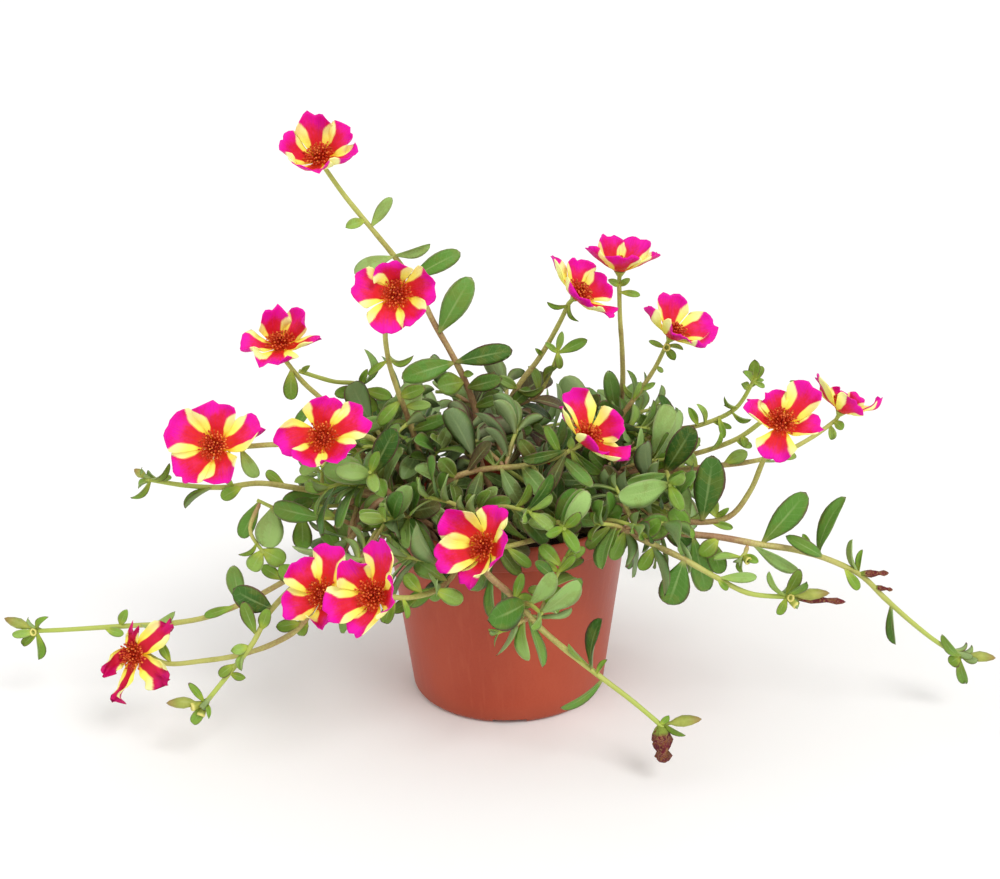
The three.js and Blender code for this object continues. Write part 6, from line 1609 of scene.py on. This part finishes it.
def leaf_finish():
    """Dull green skin with a paler midrib, faint side veins and a thin purple or pale edge."""
    finish, tree, shader, place = new_finish("leaf_skin", 0.45, 0.25)
    along, beside, upper, tone, young = attributes(
        tree, "along", "beside", "upper", "tone", "young")
    cloud, grain = clouds(tree, place, 120.0, 1400.0, 0.3)
    green = blended(tree, stepped(tree, tone, 0.0, 0.45), "335A1A", "5E8E32")
    green = blended(tree, stepped(tree, tone, 0.5, 0.95), green, "9CBE6C")
    green = tinted(tree, green, young, 0.5, "94B436")
    lime = times(tree, young, stepped(tree, along, 0.6, 0.15))
    green = tinted(tree, green, lime, 0.7, "C0CC4A")

    # Painted shade: leaves within about 9 cm of the bush's heart are painted darker, standing in for
    # the shade inside the bush. The same mask gives them stronger olive patches and some a wine tint.
    from_heart = node(tree, "ShaderNodeVectorMath", {0: place, 1: (0, 0, 0.085)},
                      operation="DISTANCE").outputs["Value"]
    painted_heart_shade = stepped(tree, from_heart, 0.09, 0.045)
    patches = times(tree, stepped(tree, cloud, 0.45, 0.75),
                    maths(tree, "MULTIPLY_ADD", painted_heart_shade, 0.5, 0.3))
    green = blended(tree, patches, green, "7C8030")
    green = tinted(tree, green, painted_heart_shade, 0.65, "2E3C18")
    wine = times(tree, painted_heart_shade, stepped(tree, tone, 0.25, 0.12))
    green = tinted(tree, green, wine, 0.7, "6C4238")

    off_rib = maths(tree, "ABSOLUTE", beside)
    rib = times(tree, stepped(tree, off_rib, 0.13, 0.02), stepped(tree, along, 1.0, 0.5))
    green = tinted(tree, green, rib, 0.4, "A8C078")
    slant = maths(tree, "SUBTRACT", along, times(tree, off_rib, 0.16))
    veins = maths(tree, "ABSOLUTE", maths(tree, "SINE", times(tree, slant, 26.0)))
    vein = times(tree, stepped(tree, veins, 0.16, 0.0), 0.22)
    green = blended(tree, vein, green, "A0BC78")
    green = tinted(tree, green, maths(tree, "SUBTRACT", 1.0, upper), 0.55, "9DB082")

    outer = maths(tree, "MAXIMUM", stepped(tree, off_rib, 0.8, 0.98),
                  stepped(tree, along, 0.955, 0.995))
    edged = times(tree, outer, stepped(tree, along, 0.2, 0.5))
    edged = times(tree, edged, maths(tree, "MULTIPLY_ADD", cloud, 0.6, 0.35))
    margin = blended(tree, stepped(tree, tone, 0.3, 0.7), "7C4250", "B4BC86")
    green = blended(tree, edged, green, margin)
    green = tinted(tree, green, stepped(tree, along, 0.2, 0.02), 0.7, "B4AC62")
    tree.links.new(ranged(tree, cloud, 0.36, 0.52), shader.inputs["Roughness"])
    relief = maths(tree, "SUBTRACT", grain, maths(tree, "ADD", vein, times(tree, rib, 1.5)))
    coat(tree, shader, green, relief, 0.25, 0.0004)
    return finish


def stem_finish():
    """Greenish straw, mottled reddish brown towards the soil and fresh green at the tips."""
    finish, tree, shader, place = new_finish("stem_skin", 0.5)
    along, = attributes(tree, "along")
    cloud, grain = clouds(tree, place, 90.0, 1100.0, 0.4)
    straw = blended(tree, cloud, "A9AA4C", "C8C070")
    red = blended(tree, cloud, "96604A", "BE8E70")
    ripe = stepped(tree, maths(tree, "MULTIPLY_ADD", cloud, 0.35, along), 0.9, 0.5)
    skin = tinted(tree, straw, ripe, 0.85, red)
    skin = blended(tree, stepped(tree, along, 0.6, 1.0), skin, "AEBE52")
    coat(tree, shader, skin, grain, 0.3, 0.0003)
    return finish


def tip_finish(name, roughness, mottle, pores, shades, end, strength, end_shade):
    """A skin mottled in two shades, with a third over its end, from one share to another."""
    finish, tree, shader, place = new_finish(name, roughness)
    cloud, grain = clouds(tree, place, mottle, pores, 0.3)
    along, = attributes(tree, "along")
    skin = blended(tree, cloud, *shades)
    skin = tinted(tree, skin, stepped(tree, along, *end), strength, end_shade)
    coat(tree, shader, skin, grain, 0.25, 0.0003)
    return finish


def spent_finish():
    """A withered flower: a green base, then papery stripes of wine red, brown and cream."""
    finish, tree, shader, place = new_finish("spent_petals", 0.75, 0.3)
    cloud, grain = clouds(tree, place, 260.0, 900.0, 0.5)
    along, = attributes(tree, "along")
    skin = blended(tree, cloud, "581424", "842E30")
    skin = blended(tree, stepped(tree, grain, 0.55, 0.68), skin, "84542F")
    waves = maths(tree, "SINE", maths(tree, "MULTIPLY_ADD", grain, 5.0, times(tree, along, 16.0)))
    skin = tinted(tree, skin, stepped(tree, waves, 0.7, 0.95), 0.4, "B8906A")
    skin = blended(tree, stepped(tree, along, 0.28, 0.16), skin, "8A9A3C")
    coat(tree, shader, skin, grain, 0.8, 0.0006)
    return finish


stem_skin = stem_finish()
leaf_skin = leaf_finish()
spent_skin = spent_finish()
bud_skin = tip_finish(
    "bud_skin", 0.48, 200.0, 1200.0, ("8C9838", "AFB452"), (0.6, 1.0), 0.7, "8A5630")
cup_skin = tip_finish(
    "seed_cup_skin", 0.5, 300.0, 1300.0, ("8A9A34", "A8A83C"), (0.7, 0.92), 1.0, "E2D878")
stem_growth = stem_tree()
set_out = set_out_tree()
blade = place_object("blade", blade_mesh())
bud = place_object("bud", turned_tip(
    "bud", BUD_OUTLINE, steps=10, ribs=5, rib_depth=0.07, twist=0.6))
spent = place_object("spent", turned_tip(
    "spent", SPENT_OUTLINE, steps=12, ribs=5, rib_depth=0.22, twist=2.4))
cup = place_object("cup", turned_tip("cup", CUP_OUTLINE, steps=14, ribs=5, rib_depth=0.03))


def grown_shapes(kind, spots, shape, seed, finish, ripple=0.0, ripples=1.0):
    """A shape grown on each spot, in its finish, with its edges rippled by so many mm."""
    return grown_mesh(spots_mesh(kind, spots), set_out, {
        "Shape": shape, "Ripple": ripple * MM, "Ripple scale": ripples, "Seed": seed,
        "Finish": finish})


def plant_mesh(plant_node, index):
    stems = grown_mesh(way_mesh("stems", [*plant_node.paths, *plant_node.shoots]), stem_growth, {
        "Sides": STEM_ROUND_SIDES, "Step": STEM_SMOOTH_STEP * MM, "Knobbliness": STEM_KNOBS,
        "Finish": stem_skin})
    leaves = grown_shapes("leaves", [leaf_spot(leaf) for leaf in plant_node.leaves], blade, index,
                          leaf_skin, LEAF_RIPPLE, RIPPLES_PER_METRE)
    buds = grown_shapes("buds", tip_spots(plant_node, "buds"), bud, 1, bud_skin)
    withered = grown_shapes("spent", tip_spots(plant_node, "spent"), spent, 1, spent_skin)
    cups = grown_shapes("cups", cup_spots(plant_node), cup, 1, cup_skin)
    return joined(plant_node.name + "_growth", [stems, leaves, buds, withered, cups])


for index, plant_node in enumerate(plant_nodes):
    growth = plant_mesh(plant_node, index)
    finished(add_piece(plant_node.name + "_growth", growth, "foliage", plant_node.name))
for shape in (blade, bud, spent, cup):
    bpy.data.objects.remove(shape)

# ---------------------------------------------------------------- the blooms' petals
#
# Five broad, silky petals to a bloom, grown together round the eye. Each is magenta, turns
# crimson and orange towards the eye, has a wide pale yellow margin down both sides, and ends
# in a shallow ragged notch. They overlap in a ring, each with one side over its neighbour.

PETAL_ROWS = 18
PETAL_COLUMNS = 15
PETAL_SKIN = 0.4
PETAL_OVERLAP = 0.6
PETAL_OPENING = 0.55
PETAL_SHOULDER = 0.6
PETAL_LENGTHENING = 1.03
TIP_TAPER = 0.1
EYE_HALF_WIDTH = 2.6
EYE_STEPS = 20
OVERLAP_LIFT = 0.35
CUP = 0.16
TIP_CUP = 0.42
RUFFLE = 7.5
TIP_ROUNDING = 0.42
TIP_NOTCH = 0.08
NOTCH_SPAN = 0.22
TIP_LOBES = 0.05
TIP_FRAY = 0.03
TONE_SEED = 101
WILTED = {8: 0.7}
WILTED_NARROWING = 0.4


def petal_end(beside, seed):
    """The share of the petal's length that it reaches at a share of its width."""
    notch = TIP_NOTCH * math.exp(-(beside / NOTCH_SPAN) ** 2)
    lobes = TIP_LOBES * noise.noise(Vector((beside * 2.1, seed * 3.7, 0)))
    fray = TIP_FRAY * noise.noise(Vector((beside * 6.0, seed * 3.7, 4)))
    rounding = TIP_ROUNDING * (1 - math.sqrt(1 - min(1, beside ** 2)))
    return PETAL_LENGTHENING - rounding - notch + (lobes + fray) * (1 - beside ** 2)


def petal_half_width(petals, index, along, sign, wilt):
    """How far a petal reaches on one side: it just covers its neighbour's near side."""
    full = petals[index].width / 2 * (1 - WILTED_NARROWING * wilt)
    opening = math.sin(math.pi / 2 * min(1, along / PETAL_OPENING))
    past = max(0, along - PETAL_SHOULDER) / (1 - PETAL_SHOULDER)
    wanted = EYE_HALF_WIDTH + (full * (1 - TIP_TAPER * past ** 1.6) - EYE_HALF_WIDTH) * opening
    beside_it = petals[(index + sign) % len(petals)]
    gap = np.linalg.norm(along_petal(beside_it, along) - along_petal(petals[index], along))
    return min(wanted, max(EYE_HALF_WIDTH, PETAL_OVERLAP * gap))


def petal_point(bloom, petals, index, row, column, seed, wilt):
    """A point of a petal's middle skin, with its face there and its own two shares."""
    beside = math.sin(math.pi * (column / (PETAL_COLUMNS - 1) - 0.5))
    along = row / (PETAL_ROWS - 1) * petal_end(beside, seed)
    place, face, side = petal_frame(bloom, petals[index], along)
    half = petal_half_width(petals, index, min(along, 1), 1 if beside > 0 else -1, wilt)
    finer = 1 + wilt
    spot = Vector((beside * 1.6 * finer + seed, along * 2.0 * finer, seed * 2.3))
    wave = finer * noise.noise(spot)
    lift = (CUP + TIP_CUP * along ** 2) * half * beside ** 2
    lift += OVERLAP_LIFT * beside + RUFFLE * wave * along ** 2 * (0.3 + abs(beside))
    return place + side * half * beside + face * lift, face, along, beside


def shell_faces(rows, columns, start):
    """The faces of a closed sheet whose upper points come first and its under points next."""
    under = rows * columns
    corner = [[start + row * columns + column for column in range(columns)] for row in range(rows)]
    faces = []
    for row, column in itertools.product(range(rows - 1), range(columns - 1)):
        face = (corner[row][column], corner[row + 1][column],
                corner[row + 1][column + 1], corner[row][column + 1])
        faces.append(face)
        faces.append(tuple(point + under for point in reversed(face)))
    rim = corner[0] + [corner[row][-1] for row in range(1, rows)]
    rim += corner[-1][-2::-1] + [corner[row][0] for row in range(rows - 2, 0, -1)]
    for one, other in zip(rim, rim[1:] + rim[:1]):
        faces.append((one, other, other + under, one + under))
    return faces


def corolla_mesh(name, bloom, seed, wilt):
    """The petals and the eye of a bloom. A wilted one has narrow, crumpled petals."""
    petals = petals_of(bloom)
    points = []
    faces = []
    notes = []
    tones = random_from(seed + TONE_SEED)
    for index in range(len(petals)):
        start = len(points)
        tone = next(tones)
        skin = [petal_point(bloom, petals, index, row, column, seed * 5 + index + 0.5, wilt)
                for row in range(PETAL_ROWS) for column in range(PETAL_COLUMNS)]
        for sign in (0.5, -0.5):
            for place, face, along, beside in skin:
                points.append((place + face * sign * PETAL_SKIN) * MM)
                notes.append((along, beside, tone, wilt))
        faces += shell_faces(PETAL_ROWS, PETAL_COLUMNS, start)
    eye = turned_mesh("eye", [
        (0, -0.7), (EYE_RADIUS, -0.6), (EYE_RADIUS + 0.7, 0), (EYE_RADIUS - 0.4, 0.55),
        (1.6, 0.9), (0, 1.0)], EYE_STEPS)
    turn = Matrix((bloom.right, bloom.up, bloom.facing)).transposed().to_4x4()
    eye.transform(Matrix.Translation(bloom.place * MM) @ turn)
    notes += [(0, 0, 0, 0)] * len(eye.vertices)
    faces += [[len(points) + corner for corner in face.vertices] for face in eye.polygons]
    points += [tuple(vertex.co) for vertex in eye.vertices]
    mesh = bpy.data.meshes.new(name)
    mesh.from_pydata(points, [], faces)
    note_rows(mesh, ("along", "beside", "tone", "wilt"), notes)
    return mesh


def petal_finish():
    """Silky petal skin: magenta to crimson to orange, with broad pale yellow margins."""
    finish, tree, shader, place = new_finish("petal_silk", 0.55, 0.2)
    along, beside, tone, wilt = attributes(tree, "along", "beside", "tone", "wilt")
    cloud, grain = clouds(tree, place, 150.0, 900.0, 0.3)
    to_eye = stepped(tree, along, 0.42, 0.12)
    to_end = stepped(tree, along, 0.62, 1.0)
    magenta = blended(tree, cloud, "EC0288", "E406AE")
    magenta = tinted(tree, magenta, to_end, 0.4, "F006B4")
    crimson = blended(tree, cloud, "D60838", "EA2C60")
    spread = node(tree, "ShaderNodeCombineXYZ", {
        0: times(tree, beside, 9.0), 1: times(tree, along, 0.9), 2: tone}).outputs[0]
    streaks = node(tree, "ShaderNodeTexNoise", {
        "Vector": spread, "Scale": 2.4, "Detail": 2.0}).outputs[0]
    clouded = maths(tree, "MULTIPLY_ADD", cloud, 0.2, along)
    wander = maths(tree, "MULTIPLY_ADD", streaks, 0.3, clouded)
    heart = blended(tree, stepped(tree, wander, 0.84, 1.16), crimson, magenta)
    heart = blended(tree, stepped(tree, wander, 0.96, 0.6), heart, "DC1A20")
    heart = blended(tree, to_eye, heart, "E84416")
    heart = tinted(tree, heart, stepped(tree, streaks, 0.45, 0.75), 0.35, "BE0458")
    heart = blended(tree, wilt, heart, "C4103A")

    off_middle = maths(tree, "ABSOLUTE", beside)
    wobble = maths(tree, "MULTIPLY_ADD", streaks, 0.1, off_middle)
    uneven = maths(tree, "MULTIPLY_ADD", tone, 0.2, maths(tree, "SUBTRACT", wobble, 0.1))
    to_ends = maths(tree, "MAXIMUM", times(tree, to_eye, 0.26), times(tree, to_end, 0.5))
    margin = maths(tree, "SUBTRACT", uneven, maths(tree, "ADD", to_ends, 0.6))
    lemon = blended(tree, stepped(tree, along, 0.12, 0.4), "FFD022", "FFF466")
    lemon = blended(tree, stepped(tree, along, 0.4, 0.8), lemon, "FFFFAC")
    silk = blended(tree, stepped(tree, margin, -0.08, 0.05), heart, lemon)
    relief = maths(tree, "ADD", streaks, times(tree, grain, 0.2))
    coat(tree, shader, silk, relief, 0.5, 0.0004)
    return finish


petal_silk = petal_finish()
for index, bloom in enumerate(blooms):
    corolla = corolla_mesh(f"bloom_{index + 1}", bloom, index + 1, WILTED.get(index, 0))
    corolla.materials.append(petal_silk)
    finished(add_piece(f"bloom_{index + 1}", corolla, "petals", f"petals_{index + 1}"))

# ---------------------------------------------------------------- the stamens
#
# A tuft of fine threads in the eye of each bloom, red inside and orange outside, each with an
# anther at its end, and some of these dusted with pollen. They stand round a lobed style.

STAMEN_COUNT = 72
STAMEN_SPREAD = 2.9
STAMEN_LENGTH = (4.4, 5.9)
STAMEN_LEAN = 1.0
STAMEN_WIDTH = 0.95
STAMEN_SEED = 301
STYLE = dict(lobes=5, length=6.5, width=0.8, lean=0.14)
GOLDEN_ANGLE = 2.39996
THREAD_OUTLINE = ((0, 0), (0.26, 0), (0.2, 0.4), (0.17, 0.82), (0.42, 0.86), (0.5, 0.92),
                  (0.3, 0.99), (0, 1))


def stamen_spots(bloom, seed):
    random = random_from(seed + STAMEN_SEED)
    spots = []
    for index in range(STAMEN_COUNT):
        share = math.sqrt((index + 0.5) / STAMEN_COUNT)
        out_turn = index * GOLDEN_ANGLE
        out = bloom.right * math.cos(out_turn) + bloom.up * math.sin(out_turn)
        lean = STAMEN_LEAN * share + between(random, -0.12, 0.12)
        axis = unit(bloom.facing * math.cos(lean) + out * math.sin(lean))
        length = between(random, *STAMEN_LENGTH)
        place = bloom.place + out * STAMEN_SPREAD * share + bloom.facing * 0.4
        size = (STAMEN_WIDTH, length, STAMEN_WIDTH)
        spots.append((place, axis, across_from(axis, out), size, -0.1 * share, share))
    size = (STYLE["width"], STYLE["length"], STYLE["width"])
    for index in range(STYLE["lobes"]):
        out_turn = 2 * math.pi * index / STYLE["lobes"]
        out = bloom.right * math.cos(out_turn) + bloom.up * math.sin(out_turn)
        axis = unit(bloom.facing + out * STYLE["lean"])
        spots.append((bloom.place, axis, across_from(axis, out), size, 0, 0))
    return spots


def stamen_finish():
    """Threads from red inside to orange outside, their anthers red or pale with pollen."""
    finish, tree, shader, place = new_finish("stamen_threads", 0.6, 0.4)
    along, tone, outer = attributes(tree, "along", "tone", "young")
    cloud, grain = clouds(tree, place, 300.0, 1600.0, 0.4)
    thread = blended(tree, times(tree, outer, outer), "CC2A10", "F26420")
    anther = blended(tree, cloud, "A81C0E", "E2581A")
    dusted = times(tree, stepped(tree, tone, 0.7, 0.76), stepped(tree, grain, 0.2, 0.5))
    anther = blended(tree, dusted, anther, "F4883A")
    skin = blended(tree, stepped(tree, along, 0.82, 0.86), thread, anther)
    coat(tree, shader, skin, grain, 0.4, 0.0003)
    return finish


stamen_threads = stamen_finish()
thread = place_object("thread", turned_tip("thread", THREAD_OUTLINE, steps=6))
for index, bloom in enumerate(blooms):
    tuft = grown_shapes("stamens", stamen_spots(bloom, index), thread, index, stamen_threads)
    finished(add_piece(f"stamen_tuft_{index + 1}", tuft, "stamens", f"stamens_{index + 1}"))
bpy.data.objects.remove(thread)

# ---------------------------------------------------------------- floor, light and camera
#
# A pale studio table in soft daylight, most of it from above, the right and the front, with a
# weak side light from the left. The camera stands where the plant's drawing is seen from.

FLOOR_SIZE = 60
SENSOR_WIDTH = 36
SKY_STRENGTH = 0.78
BACKDROP_GLOW = 0.24


def pale_floor():
    bpy.ops.mesh.primitive_plane_add(size=FLOOR_SIZE)
    floor = bpy.context.object
    floor.name = "studio_floor"
    finish, tree, shader, place = new_finish("pale_floor", 0.9, 0.2)
    cloud, _ = clouds(tree, place, 0.8, 4.0, 0.3)
    tree.links.new(blended(tree, cloud, "F6F5F3", "F9F8F7"), shader.inputs["Base Color"])
    floor.data.materials.append(finish)


def soft_sun(name, towards, strength, spread):
    """Daylight through a wide blind, from one side."""
    lamp = bpy.data.lights.new(name, "SUN")
    lamp.energy = strength
    lamp.angle = math.radians(spread)
    made = place_object(name, lamp)
    made.rotation_euler = Vector(towards).to_track_quat("-Z", "Y").to_euler()


pale_floor()
soft_sun("key_light", (-0.55, 0.75, -1.0), 1.45, 28)
soft_sun("side_light", (0.8, 0.3, -0.6), 0.4, 60)
world = bpy.data.worlds.new("studio")
bpy.context.scene.world = world
world.use_nodes = True
sky = world.node_tree
backdrop = sky.nodes["Background"]
backdrop.inputs["Color"].default_value = (1, 1, 1, 1)
seen = node(sky, "ShaderNodeLightPath").outputs["Is Camera Ray"]
daylight = maths(sky, "MULTIPLY_ADD", seen, BACKDROP_GLOW, SKY_STRENGTH)
sky.links.new(daylight, backdrop.inputs["Strength"])
bpy.context.scene.view_settings.view_transform = "Standard"

camera = bpy.data.cameras.new("camera")
camera.lens = SENSOR_WIDTH * LENS / (2 * MIDDLE[0])
camera.sensor_width = SENSOR_WIDTH
camera.clip_end = 50
eye = place_object("camera", camera)
looking = Matrix((DRAWN_RIGHT, DRAWN_UP, TO_VIEWER)).transposed().to_4x4()
eye.matrix_world = Matrix.Translation(VIEWER * MM) @ looking @ Matrix.Rotation(-ROLL, 4, "Z")
bpy.context.scene.camera = eye
